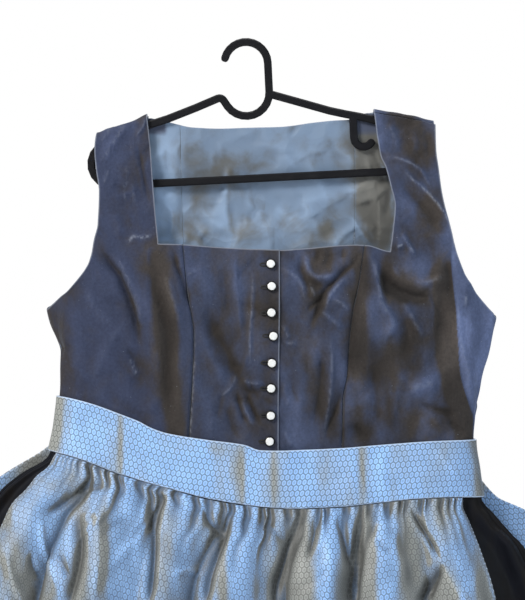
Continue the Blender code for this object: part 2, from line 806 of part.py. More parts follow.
def band_edges(turn):
    """The heights of the band's upper and lower edge at an angle round the body."""
    if abs(turn) > SIDE_SEAM:
        top = seam_height(turn) + SEAM_UNDER_BAND
        return top, top - BAND_WIDTH
    x = body_point(turn, -490).x
    return BAND_TOP(x), BAND_BOTTOM(x)


def band_path(turn):
    """How far below the waist seam the band's lower edge lies, along the skirt's path."""
    top = seam_height(turn)
    return (top - band_edges(turn)[1]) * SKIRT_LENGTH / (top - HEM)


def apron_rows():
    fine, coarse = 3 * PUCKERS, 3 * PUCKERS // 2
    plan = [(0, fine), (7, fine), (18, fine)]
    plan += [(down, coarse) for down in (36, 62, 100, 160, 280, 430)]
    rows = []
    for below, columns in plan:
        row = []
        for across in shares(columns):
            start = band_path(apron_turn(across, 42)) + APRON_GAP
            down = min(start + below, APRON_LENGTH)
            row.append(spot(apron_point, across, down, 0.0015, -0.5))
        rows.append(row)
    rows.append([
        spot(apron_point, across, APRON_LENGTH, 0.0015, -0.5) for across in shares(coarse)
    ])
    return rows


def band_rows():
    """The waistband's rows, raised where it runs over the lapped front."""
    rows = []
    for share in shares(3):
        row = []
        for t in shares(52):
            turn = mix(*BAND_ENDS, t)
            place = body_spot(turn, mix(*band_edges(turn), share))
            x = place.point.x
            over_lap = ramp((x - LAP_START + 20) / 18) * (1 - ramp((x - LAP_EDGE - 6) / 20))
            row.append(Spot(place.lifted(BAND_LIFT + 2.0 * over_lap), place.out))
        rows.append(row)
    return rows


def build_apron():
    wall("apron_waistband", "apron_cloth", band_rows(), BAND_CLOTH)
    wall("apron", "apron_cloth", apron_rows(), APRON_CLOTH)


# ---------------------------------------------------------------- apron ties

TIE_WIDTH = 66.0

# Each tie's middle line behind the skirt, as x and z, from the band's end down.
TIE_PATHS = {
    "left": [
        (-165, -467), (-196, -490), (-231, -520), (-286, -554), (-330, -590), (-362, -646),
        (-378, -730), (-386, -850), (-392, -980), (-396, -1100),
    ],
    "right": [
        (220, -507), (248, -535), (290, -580), (332, -600), (372, -630), (394, -690),
        (402, -780), (406, -880), (409, -990), (411, -1100),
    ],
}
TIE_CLEARANCE = (3.4, 6.0)  # off the band at its end, and off the skirt's outermost folds
TIE_ROOT = 0.08  # the share of a tie's length that turns from the band's upright end
TIE_BEHIND = smooth_curve((0, 24), (0.2, 26), (0.5, 34), (1, 44))  # how far back at the least
TIE_ROWS = 26


def reach_behind(x, z):
    """How far back the dress reaches at this x and height, its folds and band included."""
    side = LEFT if x < BODY_MIDDLE else RIGHT
    share = (x - BODY_MIDDLE) / abs(side.outline(z) - BODY_MIDDLE)
    reach = BACK_DEPTH(z) * max(1 - abs(share) ** ROUNDNESS, 0) ** (1 / ROUNDNESS) + BAND_LIFT
    top = waist_height(x, back=True)
    down = max(top - z, 0.0) * SKIRT_LENGTH / (top - HEM)
    share = (x - ring_middle(down)) / ring_half(down)
    ring = RING_DEPTH(down) * max(1 - abs(share) ** RING_POWER, 0) ** (1 / RING_POWER)
    return max(reach, ring + FOLD_HEIGHT(down))


def path_curve(points):
    """A smooth function of the share along a line through these points."""
    lengths = [0.0]
    for a, b in zip(points, points[1:]):
        lengths.append(lengths[-1] + (Vector(b) - Vector(a)).length)
    places = [length / lengths[-1] for length in lengths]
    curves = [smooth_curve(*zip(places, values)) for values in zip(*points)]
    return lambda t: Vector([curve(t) for curve in curves])


def tie_rows(name):
    """A tie's rows: folded back over the band's end, it hangs by the skirt's side."""
    middle = path_curve(TIE_PATHS[name])
    outwards = -1 if name == "left" else 1
    rows = []
    for t in shares(TIE_ROWS):
        along = middle(min(t + 0.01, 1.0)) - middle(max(t - 0.01, 0.0))
        across = Vector((along.y, -along.x)).normalized() * -outwards
        turned = ramp(t / TIE_ROOT)
        across = Vector((0, 1)).lerp(across, turned).normalized()
        row = []
        for share in (-0.5, 0.0, 0.5):
            x, z = middle(t) + across * TIE_WIDTH * share
            y = max(reach_behind(x, z) + mix(*TIE_CLEARANCE, turned), TIE_BEHIND(t))
            row.append(Spot(Vector((x, y, z)), Vector((0, 1, 0))))
        rows.append(row)
    return rows


def build_ties():
    for name in TIE_PATHS:
        wall(f"apron_tie_{name}", "apron_cloth", tie_rows(name), APRON_CLOTH)


# ---------------------------------------------------------------- hanger

HANGER_TILT = math.radians(2.9)
STROKE = (9.5, 6.0, 1.6)  # width in the hanger's plane, thickness and chamfer
HOOK_RADIUS = 26.6
HOOK_MIDDLE = (0.0, STROKE[0] / 2 - HOOK_RADIUS)  # the hook's inner top is the origin
LOOP_RADIUS = 28.0
LOOP_MIDDLE = (-1.5, -57.6)
ELBOW_RADIUS = 6.0
ELBOW_MIDDLE = (-34.8, -68.2)
ARM_SLOPE = math.radians(18.7)
ARM_START = (29.0, -60.7)  # where the right arm leaves the stem
ARM_RISE = 4.2  # how far the arms bow up under the straps
END_RADIUS = 26.3
END_MIDDLE = (168.6, -135.8)
BAR_HEIGHT = END_MIDDLE[1] - END_RADIUS
J_REACH = 127.0  # from the hanger's middle to the strap hooks
J_DROP, J_RADIUS = 27.5, 11.5


def arc(middle, radius, start, end, steps):
    """Points of an arc, the angles in degrees from +X towards +Z."""
    angles = [math.radians(mix(start, end, t)) for t in shares(steps)]
    return [
        (middle[0] + radius * math.cos(a), middle[1] + radius * math.sin(a)) for a in angles
    ]


def stroke(name, path, round_start=False, round_end=False):
    """A flat bar with chamfered edges, swept along a line of (x, z) points."""
    width, depth, chamfer = STROKE
    points = [Vector(p) for p in path]
    half = [width / 2] * len(points)
    if round_start:
        lead = (points[0] - points[1]).normalized()
        points = [points[0] + lead * width * 0.42, points[0] + lead * width * 0.28] + points
        half = [width * 0.22, width * 0.40] + half
    if round_end:
        lead = (points[-1] - points[-2]).normalized()
        last = points[-1]
        points += [last + lead * width * 0.28, last + lead * width * 0.42]
        half += [width * 0.40, width * 0.22]
    build = bmesh.new()
    rings = []
    for i, point in enumerate(points):
        before = (point - points[i - 1]).normalized() if i else None
        after = (points[i + 1] - point).normalized() if i + 1 < len(points) else None
        along = ((before or after) + (after or before)).normalized()
        stretch = 1 / max(along.dot(before or after), 0.5)
        across = Vector((-along.y, along.x)) * stretch
        side = half[i]
        outline = [
            (side, depth / 2 - chamfer), (side - chamfer, depth / 2),
            (chamfer - side, depth / 2), (-side, depth / 2 - chamfer),
            (-side, chamfer - depth / 2), (chamfer - side, -depth / 2),
            (side - chamfer, -depth / 2), (side, chamfer - depth / 2),
        ]
        ring = []
        for offset, y in outline:
            x, z = point + across * offset
            turned_x = x * math.cos(HANGER_TILT) - z * math.sin(HANGER_TILT)
            turned_z = x * math.sin(HANGER_TILT) + z * math.cos(HANGER_TILT)
            ring.append(build.verts.new((turned_x * METRE, y * METRE, turned_z * METRE)))
        rings.append(ring)
    for ring, following in zip(rings, rings[1:]):
        for j in range(8):
            build.faces.new((ring[j], ring[j - 1], following[j - 1], following[j]))
    build.faces.new(rings[0])
    build.faces.new(reversed(rings[-1]))
    bmesh.ops.recalc_face_normals(build, faces=build.faces)
    mesh = bpy.data.meshes.new(name)
    build.to_mesh(mesh)
    build.free()
    mesh.shade_smooth()
    mesh.set_sharp_from_angle(angle=math.radians(35))
    return new_object(name, mesh, "hanger_plastic")


def arm_point(sign, reach):
    """A point along an arm: a straight slope that bows up under the straps."""
    x = ARM_START[0] + reach
    bow = ARM_RISE * math.sin(math.pi * min(max((reach - 65) / 120, 0.0), 1.0)) ** 2
    return sign * x, ARM_START[1] - reach * math.tan(ARM_SLOPE) + bow


def arm_and_bar(sign):
    """One arm, its round end and half of the lower bar, and a little more on the right."""
    line = [arm_point(sign, reach) for reach in (0, 35, 70, 90, 105, 120, 135)]
    end = arc(END_MIDDLE, END_RADIUS, 90 - math.degrees(ARM_SLOPE), -90, 8)
    line += [(sign * x, z) for x, z in end]
    line.append((-6.0 if sign > 0 else 0.0, BAR_HEIGHT))
    return line


def build_hanger():
    hook = arc(HOOK_MIDDLE, HOOK_RADIUS, 163, 0, 12)
    loop = arc(LOOP_MIDDLE, LOOP_RADIUS, 0, -148, 10)
    elbow = arc(ELBOW_MIDDLE, ELBOW_RADIUS, 32, 90 + math.degrees(ARM_SLOPE), 4)
    body = stroke("hanger", hook + loop + elbow + arm_and_bar(-1)[1:], round_start=True)
    right = [(HOOK_RADIUS - 1, ARM_START[1] + 1)] + arm_and_bar(1)[1:]
    pieces = [stroke("cut_right", right)]
    for sign in (-1, 1):
        top = arm_point(sign, J_REACH - ARM_START[0])[1]
        curl = arc((J_REACH + J_RADIUS, top - J_DROP), J_RADIUS, 180, 325, 6)
        line = [(sign * x, z) for x, z in [(J_REACH, top)] + curl]
        pieces.append(stroke(f"cut_j{sign}", line, round_end=True))
    for piece in pieces:
        piece.hide_render = True
        piece.display_type = "WIRE"
        join = body.modifiers.new(piece.name, "BOOLEAN")
        join.operation = "UNION"
        join.solver = "EXACT"
        join.object = piece


# ---------------------------------------------------------------- the whole

def clear_scene():
    for item in list(bpy.data.objects):
        bpy.data.objects.remove(item, do_unlink=True)


def main():
    clear_scene()
    build_hanger()
    build_bodice()
    for number, (x, z) in enumerate(BUTTONS, start=1):
        button(f"button_{number}", x, z)
    build_skirt()
    build_apron()
    build_ties()


main()
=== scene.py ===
"""The looks of a dirndl dress on a hanger: its cloth with folds, creases and seams, its
buttons, materials, light and camera.

The cloth follows the same forms as the CAD's walls, so those forms are described here
again, on arrays. Sizes are in millimetres in the dress's own coordinates: +Z up, +X the
viewer's right, -Y towards the viewer. Left and right are the viewer's.
"""

import math
from typing import Callable, NamedTuple

import bmesh
import bpy
import numpy as np
from mathutils import Matrix, Vector


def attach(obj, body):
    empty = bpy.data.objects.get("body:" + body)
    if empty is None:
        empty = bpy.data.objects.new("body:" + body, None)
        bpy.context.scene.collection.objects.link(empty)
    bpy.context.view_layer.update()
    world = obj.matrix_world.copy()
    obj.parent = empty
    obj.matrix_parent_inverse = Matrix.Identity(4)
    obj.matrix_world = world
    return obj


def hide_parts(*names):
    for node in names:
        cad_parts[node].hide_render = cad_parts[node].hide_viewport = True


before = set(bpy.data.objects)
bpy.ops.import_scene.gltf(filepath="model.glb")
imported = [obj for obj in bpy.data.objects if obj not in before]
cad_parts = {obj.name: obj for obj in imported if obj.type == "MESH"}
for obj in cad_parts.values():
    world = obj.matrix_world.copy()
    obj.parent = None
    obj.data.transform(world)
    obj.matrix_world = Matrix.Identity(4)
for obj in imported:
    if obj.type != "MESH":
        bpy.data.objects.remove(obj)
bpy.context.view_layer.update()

METRE = 0.001  # one millimetre, in the scene's units
HANG = np.array([2.7, 0.0, -0.5])  # the dress's own origin, from the hook's bearing point

# Cloth thicknesses and the gaps between pieces.
VELVET = 1.8
LINING = 1.0
SATIN = 1.6
APRON_CLOTH = 1.3
BAND_CLOTH = 2.0
SEAM_GAP = 0.04  # so small that no light shows through a seam
LINING_GAP = 0.8
WAIST_GAP = 0.8
SIDE_SEAM = math.pi / 2  # the angle round the body where front and back meet
SIDE_GAP = 0.0006  # half the gap there, as an angle


# ---------------------------------------------------------------- curves

def smooth_curve(*points):
    """A function of arrays through (position, value) points that doesn't swing past them."""
    places, values = np.array(sorted(points), float).T
    spans = np.diff(places)
    steps = np.diff(values) / spans
    slopes = np.zeros_like(values)
    slopes[0], slopes[-1] = steps[0], steps[-1]
    before, after = steps[:-1], steps[1:]
    rising = before * after > 0
    slopes[1:-1][rising] = (2 * before * after)[rising] / (before + after)[rising]

    def value(place):
        place = np.clip(place, places[0], places[-1])
        i = np.clip(np.searchsorted(places, place, side="right") - 1, 0, len(spans) - 1)
        span = spans[i]
        t = (place - places[i]) / span
        start = (2 * t**3 - 3 * t**2 + 1) * values[i] + (t**3 - 2 * t**2 + t) * span * slopes[i]
        end = (3 * t**2 - 2 * t**3) * values[i + 1] + (t**3 - t**2) * span * slopes[i + 1]
        return start + end

    return value


def ramp(t):
    """0 below 0, 1 above 1, and smooth between."""
    t = np.clip(t, 0.0, 1.0)
    return t * t * (3 - 2 * t)


def mix(a, b, t):
    return a + (b - a) * t


def shares(count):
    return np.linspace(0.0, 1.0, count + 1)


def spaced(count, first=(), last=()):
    """Even shares of a length, and extra ones this close to its first and last end."""
    extra = list(first) + [1 - x for x in last]
    return np.unique(np.concatenate([shares(count), extra]))


def points_of(x, y, z):
    return np.stack(np.broadcast_arrays(x, y, z), axis=-1)


def seen(points):
    """The x and height of points, as they are seen from in front."""
    return points[..., 0], points[..., 2]


def unit(vectors):
    return vectors / np.maximum(np.linalg.norm(vectors, axis=-1, keepdims=True), 1e-9)


def waves(x, z, length, seed, count=8):
    """Soft random unevenness, about -1 to 1, whose waves are about this long."""
    random = np.random.default_rng(seed)
    total = 0.0
    for _ in range(count):
        angle, phase = random.uniform(0, 2 * math.pi, 2)
        turns = 2 * math.pi / (length * random.uniform(0.7, 1.6))
        total = total + np.sin((x * math.cos(angle) + z * math.sin(angle)) * turns + phase)
    return total / math.sqrt(count)


# ---------------------------------------------------------------- the body's form

BODY_MIDDLE = 24.0
ROUNDNESS = 2.6
SHOULDER_FOLD = 8.0  # the radius of the cloth's turn over the shoulder
WAIST_LEVEL = -485.0  # where the outlines give the waist's width
SEAM_FOOT = -500.0  # the same for the princess seams
STRAP_TOP_INSIDE, STRAP_TOP_OUTSIDE = -82.0, -104.0
BACK_STRAP_FOOT = -112.0  # the back panel's outer edge starts here
BACK_SEAM_TOP = -95.0

FRONT_DEPTH = smooth_curve(
    (-60, 8), (-105, 8), (-170, 14), (-240, 24), (-330, 36), (-400, 35), (-480, 32), (-560, 34)
)
BACK_DEPTH = smooth_curve((-60, 8), (-105, 8), (-170, 13), (-240, 20), (-330, 26), (-560, 34))
ROLL_TOP = -262.0  # the height where the body's sides start to lie behind the fold
ROLL_ONSET, ROLL_END, ROLL_FADE = (math.radians(angle) for angle in (9, 100, 45))
SHEET_ABOVE, OVAL_BELOW = -180.0, -300.0  # flat like the straps above, an oval below
SHOULDER_LINE = smooth_curve(
    (-184, -106), (-148, -94.5), (-124, -83), (-105, -72), (0, -58), (135, -64),
    (152, -76), (186, -81.5), (229, -91),
)


class Side(NamedTuple):
    """One half of the bodice: its outlines are curves of x over height."""

    name: str
    sign: int
    outline: Callable
    armhole_front: Callable
    armhole_back: Callable
    strap_inner: Callable
    seam_front: Callable
    seam_back: Callable
    shoulder_seam: float  # how far in front of the shoulder's top it is
    tip: float  # the height of the underarm's tip
    corner: float  # the height of the neckline's outer end
    seam_top: float
    fold_line: Callable  # where the front rolls back to the side
    fold_depth: float
    fold_fade: tuple  # the heights between which the fold fades out


LEFT = Side(
    name="left",
    sign=-1,
    outline=smooth_curve(
        (-60, -262), (-200, -258), (-300, -250), (-322, -246), (-343, -240), (-374, -228.5),
        (-402, -228.5), (-425, -229), (-460, -233), (-492, -239.5), (-560, -254),
    ),
    armhole_front=smooth_curve(
        (-104, -183.9), (-127, -186.1), (-151, -183.9), (-179, -180.1), (-218, -181.5),
        (-236, -185.8), (-261, -190.7), (-273, -196.8), (-286.5, -207.8), (-306, -228), (-322, -246),
    ),
    armhole_back=smooth_curve(
        (-104, -183.9), (-127, -182), (-179, -174), (-230, -176), (-262, -185), (-286, -202),
        (-306, -226), (-322, -246),
    ),
    strap_inner=smooth_curve(
        (-81.5, -122.5), (-103.5, -119.9), (-126.6, -117.5), (-169, -114.4), (-206, -111.4),
        (-239, -108.3),
    ),
    seam_front=smooth_curve(
        (-240, -78.4), (-295, -72.3), (-353.5, -63.8), (-411, -66.2), (-473, -69.9), (-510, -71)
    ),
    seam_back=smooth_curve((-95, -82), (-200, -80), (-330, -72), (-480, -66)),
    shoulder_seam=2.0,
    tip=-322.0,
    corner=-239.0,
    seam_top=-242.0,
    fold_line=smooth_curve(
        (-280, -203), (-296, -212.6), (-317, -217.5), (-344, -221), (-369, -222), (-402, -223)
    ),
    fold_depth=13.0,
    fold_fade=(-352.0, -392.0),
)

RIGHT = Side(
    name="right",
    sign=1,
    outline=smooth_curve(
        (-60, 318), (-200, 316), (-300, 308), (-331.6, 304.6), (-346, 301), (-371, 296),
        (-395, 289), (-419, 284), (-444, 278.5), (-480, 276), (-520, 281), (-560, 287),
    ),
    armhole_front=smooth_curve(
        (-90.8, 229), (-127, 230), (-151, 233), (-175, 236), (-200, 241), (-224, 247),
        (-249, 253), (-273, 262), (-297, 275), (-314.5, 289), (-331.6, 304.6),
    ),
    armhole_back=smooth_curve(
        (-90.8, 229), (-127, 226), (-175, 228), (-224, 236), (-273, 253), (-300, 272),
        (-317, 288), (-331.6, 304.6),
    ),
    strap_inner=smooth_curve(
        (-76, 152.5), (-85, 154.6), (-111, 158), (-136, 163), (-147, 168), (-173, 175),
        (-196, 180), (-222, 178.5), (-251, 176.5),
    ),
    seam_front=smooth_curve(
        (-243.5, 141.9), (-287, 134.8), (-323, 126.8), (-358, 122.6), (-398, 120.7), (-429, 115.5),
        (-489, 114.2), (-520, 114),
    ),
    seam_back=smooth_curve((-85, 130), (-200, 132), (-330, 124), (-500, 112)),
    shoulder_seam=9.0,
    tip=-331.6,
    corner=-251.0,
    seam_top=-243.5,
    fold_line=smooth_curve((-262, 256), (-300, 261), (-340, 266), (-400, 271), (-456, 275)),
    fold_depth=8.0,
    fold_fade=(-430.0, -470.0),
)

NECKLINE = smooth_curve(
    (-108.3, -239), (-78, -242), (-9, -247), (41, -249), (70, -247), (133, -242.5), (145, -243),
    (166, -249), (176.5, -251),
)
BACK_NECK = smooth_curve(
    (-122, -86.5), (-103, -90.5), (-87, -94.5), (-67.5, -98.6), (-33, -100), (0, -99), (40, -98),
    (79, -93), (109, -90), (123, -89.4), (137.5, -83), (152.5, -80),
)
BUSTS = [(-92.0, -318.0, 7.0, 46.0), (152.0, -322.0, 7.0, 48.0)]  # x, height, rise, spread

BAND_TOP = smooth_curve(
    (-240, -426), (-228, -427.5), (-200, -433.6), (-154, -448.7), (-134, -456), (-120, -463),
    (-99, -470), (-49, -478), (-4, -484), (15.5, -490.5), (35, -491), (70, -490), (114, -488),
    (164, -484), (228, -480), (279, -479),
)
BAND_BOTTOM = smooth_curve(
    (-243, -492), (-229, -495), (-211, -499), (-180, -509), (-160, -516.5), (-130, -525.5),
    (-89, -537), (-39, -550), (15.5, -558.5), (57, -561), (110, -559), (153, -554.5), (196, -550),
    (239, -548.5), (289, -550),
)
SEAM_UNDER_BAND = 25.0


def outline_at(turn, z):
    """The x of the body's left or right side, whichever an angle is on."""
    return np.where(np.sin(turn) < 0, LEFT.outline(z), RIGHT.outline(z))


def oval(turn, power=ROUNDNESS):
    """The unit oval's x and depth at an angle round it, the front at negative depth."""
    reach = (np.abs(np.sin(turn)) ** power + np.abs(np.cos(turn)) ** power) ** (-1 / power)
    return np.sin(turn) * reach, -np.cos(turn) * reach


def oval_depth(share, power):
    """How deep the unit oval is where its x is this share of its half width."""
    return np.maximum(1 - np.abs(share) ** power, 0) ** (1 / power)


def oval_turn(share, power=ROUNDNESS):
    """The angle at which the unit oval's front has this x."""
    across = np.minimum(np.abs(share), 1.0) ** power
    return np.copysign(np.arctan2(across ** (1 / power), (1 - across) ** (1 / power)), share)


def off_front(turn):
    """The angle away from straight ahead, to either side."""
    return np.arccos(np.clip(np.cos(turn), -1, 1))


def half_share(x, z):
    """The way from the body's middle (0) to its left (-1) or right (1) side."""
    side = np.where(x < BODY_MIDDLE, LEFT.outline(z), RIGHT.outline(z))
    return (x - BODY_MIDDLE) / np.abs(side - BODY_MIDDLE)


def front_turn(x, z):
    """The angle round the body of the front's point at this x and height."""
    return oval_turn(half_share(x, z))


def back_turn(x, z):
    """The same for the back."""
    turn = front_turn(x, z)
    return np.copysign(math.pi, turn) - turn


def side_roll(turn, z):
    """How far the body's side lies behind the fold that the front rolls over."""
    rolls = []
    for side in (LEFT, RIGHT):
        start = np.abs(front_turn(side.fold_line(z), z))
        away = off_front(turn)
        top, bottom = side.fold_fade
        strength = ramp((z - bottom) / (top - bottom)) * ramp((ROLL_TOP - z) / 30)
        onset = ramp((away - start) / ROLL_ONSET)
        fade = 1 - ramp((away - ROLL_END) / ROLL_FADE)
        rolls.append(side.fold_depth * strength * onset * fade)
    return np.where(np.sin(turn) < 0, *rolls)


def body_point(turn, z):
    """Points of the body's outer surface at angles round it and heights."""
    across, depth = oval(turn)
    x = BODY_MIDDLE + np.abs(outline_at(turn, z) - BODY_MIDDLE) * across
    front = np.cos(turn) > 0
    roundness = ramp((SHEET_ABOVE - z) / (SHEET_ABOVE - OVAL_BELOW))
    level = np.copysign(1.0, depth)
    y = np.where(front, FRONT_DEPTH(z), BACK_DEPTH(z)) * mix(level, depth, roundness)
    for bust_x, bust_z, fullness, spread in BUSTS:
        away = ((x - bust_x) ** 2 + (z - bust_z) ** 2) / spread**2
        y = y - np.where(front, fullness * np.exp(-away), 0.0)
    return points_of(x, y + side_roll(turn, z), z)


def shoulder_point(x, path):
    """Points of a strap; the path is 0 on the fold's top, and negative in front of it."""
    bend = np.minimum(np.abs(path) / SHOULDER_FOLD, math.pi / 2)
    drop = SHOULDER_FOLD * (1 - np.cos(bend))
    drop = drop + np.maximum(np.abs(path) - SHOULDER_FOLD * math.pi / 2, 0.0)
    z = SHOULDER_LINE(x) - drop
    turn = np.where(path < 0, front_turn(x, z), back_turn(x, z))
    return points_of(x, body_point(turn, z)[..., 1] * np.sin(bend), z)


def path_down(x, z):
    """The way along the strap from the fold's top down to this height."""
    drop = SHOULDER_LINE(x) - z
    bent = SHOULDER_FOLD * np.arccos(1 - np.clip(drop, 0.0, SHOULDER_FOLD) / SHOULDER_FOLD)
    return np.where(drop < SHOULDER_FOLD, bent, SHOULDER_FOLD * (math.pi / 2 - 1) + drop)


def above_bust(z, strap, body):
    """What belongs to the straps above the bust, and to the body below."""
    return np.where((z > SHEET_ABOVE)[..., None], strap, body)


def waist_height(x, back=False):
    """The height of the waist seam, which lies behind the band."""
    if back:
        ends = LEFT.outline(WAIST_LEVEL), RIGHT.outline(WAIST_LEVEL)
        t = (x - ends[0]) / (ends[1] - ends[0])
        return mix(BAND_TOP(ends[0]), BAND_TOP(ends[1]), t) - SEAM_UNDER_BAND
    return BAND_TOP(x) - SEAM_UNDER_BAND


# ---------------------------------------------------------------- creases

class Crease(NamedTuple):
    """A ridge (height above 0) or trough drawn on the cloth, seen from in front."""

    line: list  # (x, z) points
    width: float
    height: float
    sharp: float = 1.0  # the width on the line's left side as a share of the right's
    shine: float = 0.0  # how much paler the ridge is: worn pile with a painted highlight
    power: float = 1.7  # 2 for a soft ridge, 1 for a sharp one


def along(line, count=10):
    """Points of a smooth line through these points."""
    line = np.array(line, float)
    steps = np.linalg.norm(np.diff(line, axis=0), axis=1)
    places = np.concatenate([[0.0], np.cumsum(steps)])
    curves = [smooth_curve(*zip(places, column)) for column in line.T]
    even = np.linspace(0, places[-1], count)
    return np.stack([curve(even) for curve in curves], axis=-1)


def relief(x, z, creases):
    """The creases' height and shine at places on the cloth."""
    height = np.zeros_like(x)
    shine = np.zeros_like(x)
    for crease in creases:
        line = along(crease.line)
        reach = 3 * crease.width
        low, high = line.min(0) - reach, line.max(0) + reach
        near = (x > low[0]) & (x < high[0]) & (z > low[1]) & (z < high[1])
        if not near.any():
            continue
        px, pz = x[near], z[near]
        best = np.full(px.shape, 1e9)
        place = np.zeros_like(px)
        hand = np.ones_like(px)
        last = len(line) - 1
        for i in range(last):
            a, run = line[i], line[i + 1] - line[i]
            t = ((px - a[0]) * run[0] + (pz - a[1]) * run[1]) / max(run @ run, 1e-9)
            t = np.clip(t, 0, 1)
            dx, dz = px - a[0] - t * run[0], pz - a[1] - t * run[1]
            away = np.hypot(dx, dz)
            closer = away < best
            best = np.where(closer, away, best)
            place = np.where(closer, (i + t) / last, place)
            hand = np.where(closer, np.sign(run[0] * dz - run[1] * dx), hand)
        width = np.where(hand > 0, crease.width * crease.sharp, crease.width)
        ends = ramp(place / 0.3) * ramp((1 - place) / 0.3)
        form = np.exp(-((best / width) ** crease.power)) * ends
        height[near] += crease.height * form
        shine[near] += crease.shine * np.exp(-((best / (0.35 * crease.width)) ** 2)) * ends
    return height, shine


def distance_to(points, line):
    """The distance from each point to the nearest of a line's closely set points."""
    flat = points.reshape(-1, 3)
    best = np.full(len(flat), 1e9)
    for spot in line.reshape(-1, 3):
        best = np.minimum(best, ((flat - spot) ** 2).sum(1))
    return np.sqrt(best).reshape(points.shape[:-1])


# ---------------------------------------------------------------- cloth meshes

def normals_of(points):
    """The way out of a grid whose columns run rightwards and rows downwards from outside."""
    rightwards = np.gradient(points, axis=1)
    upwards = -np.gradient(points, axis=0)
    return unit(np.cross(rightwards, upwards))


def out_of(surface, a, b, da, db):
    """The way out of a surface that is given by two measures, both counted upwards."""
    across = surface(a + da, b) - surface(a - da, b)
    return unit(np.cross(across, surface(a, b + db) - surface(a, b - db)))


def grid_lengths(points, axis):
    """The way along each row (axis 1) or column (axis 0) of a grid, from its start."""
    steps = np.linalg.norm(np.diff(points, axis=axis), axis=-1)
    start = np.zeros_like(np.take(steps, [0], axis=axis))
    return np.concatenate([start, np.cumsum(steps, axis=axis)], axis=axis)


def add(name, data, place=(0, 0, 0)):
    item = bpy.data.objects.new(name, data)
    bpy.context.scene.collection.objects.link(item)
    item.location = place
    return item


def new_mesh_object(name, mesh, materials):
    item = add(name, mesh)
    for material in materials:
        mesh.materials.append(material)
    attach(item, "root")
    return item


def cloth(name, outer, inner, materials, cells, uv, paints):
    """A closed sheet between two grids of points, its edges rounded where they meet."""
    rows, columns = outer.shape[:2]
    touching = np.zeros((rows, columns), int)
    for di in (0, 1):
        for dj in (0, 1):
            touching[di : rows - 1 + di, dj : columns - 1 + dj] += cells
    used = touching > 0
    border = used & (touching < 4)
    outer = np.where(border[..., None], (outer + inner) / 2, outer)
    front = np.full((rows, columns), -1)
    front[used] = np.arange(used.sum())
    back = front.copy()
    inside = used & ~border
    back[inside] = used.sum() + np.arange(inside.sum())
    points = np.concatenate([outer[used], inner[inside]])
    i, j = np.nonzero(cells)
    corners = [(i + 1, j), (i + 1, j + 1), (i, j + 1), (i, j)]
    faces = np.concatenate([
        np.stack([front[c] for c in corners], axis=1),
        np.stack([back[c] for c in reversed(corners)], axis=1),
    ])
    mesh = bpy.data.meshes.new(name)
    mesh.from_pydata(((points + HANG) * METRE).tolist(), [], faces.tolist())
    mesh.polygons.foreach_set("material_index", np.repeat([0, len(materials) - 1], len(i)))
    if uv is None:
        uv = np.stack([grid_lengths(outer, 1), -grid_lengths(outer, 0)], axis=-1)
    flat = np.concatenate([uv[used], uv[inside]]) * METRE
    layer = mesh.uv_layers.new(name="cut")
    layer.data.foreach_set("uv", flat[faces.ravel()].ravel())
    for key, values in paints.items():
        paint = mesh.attributes.new(key, "FLOAT", "POINT")
        paint.data.foreach_set("value", np.concatenate([values[used], values[inside]]))
    mesh.shade_smooth()
    mesh.validate()
    return new_mesh_object(name, mesh, materials)


# ---------------------------------------------------------------- material nodes

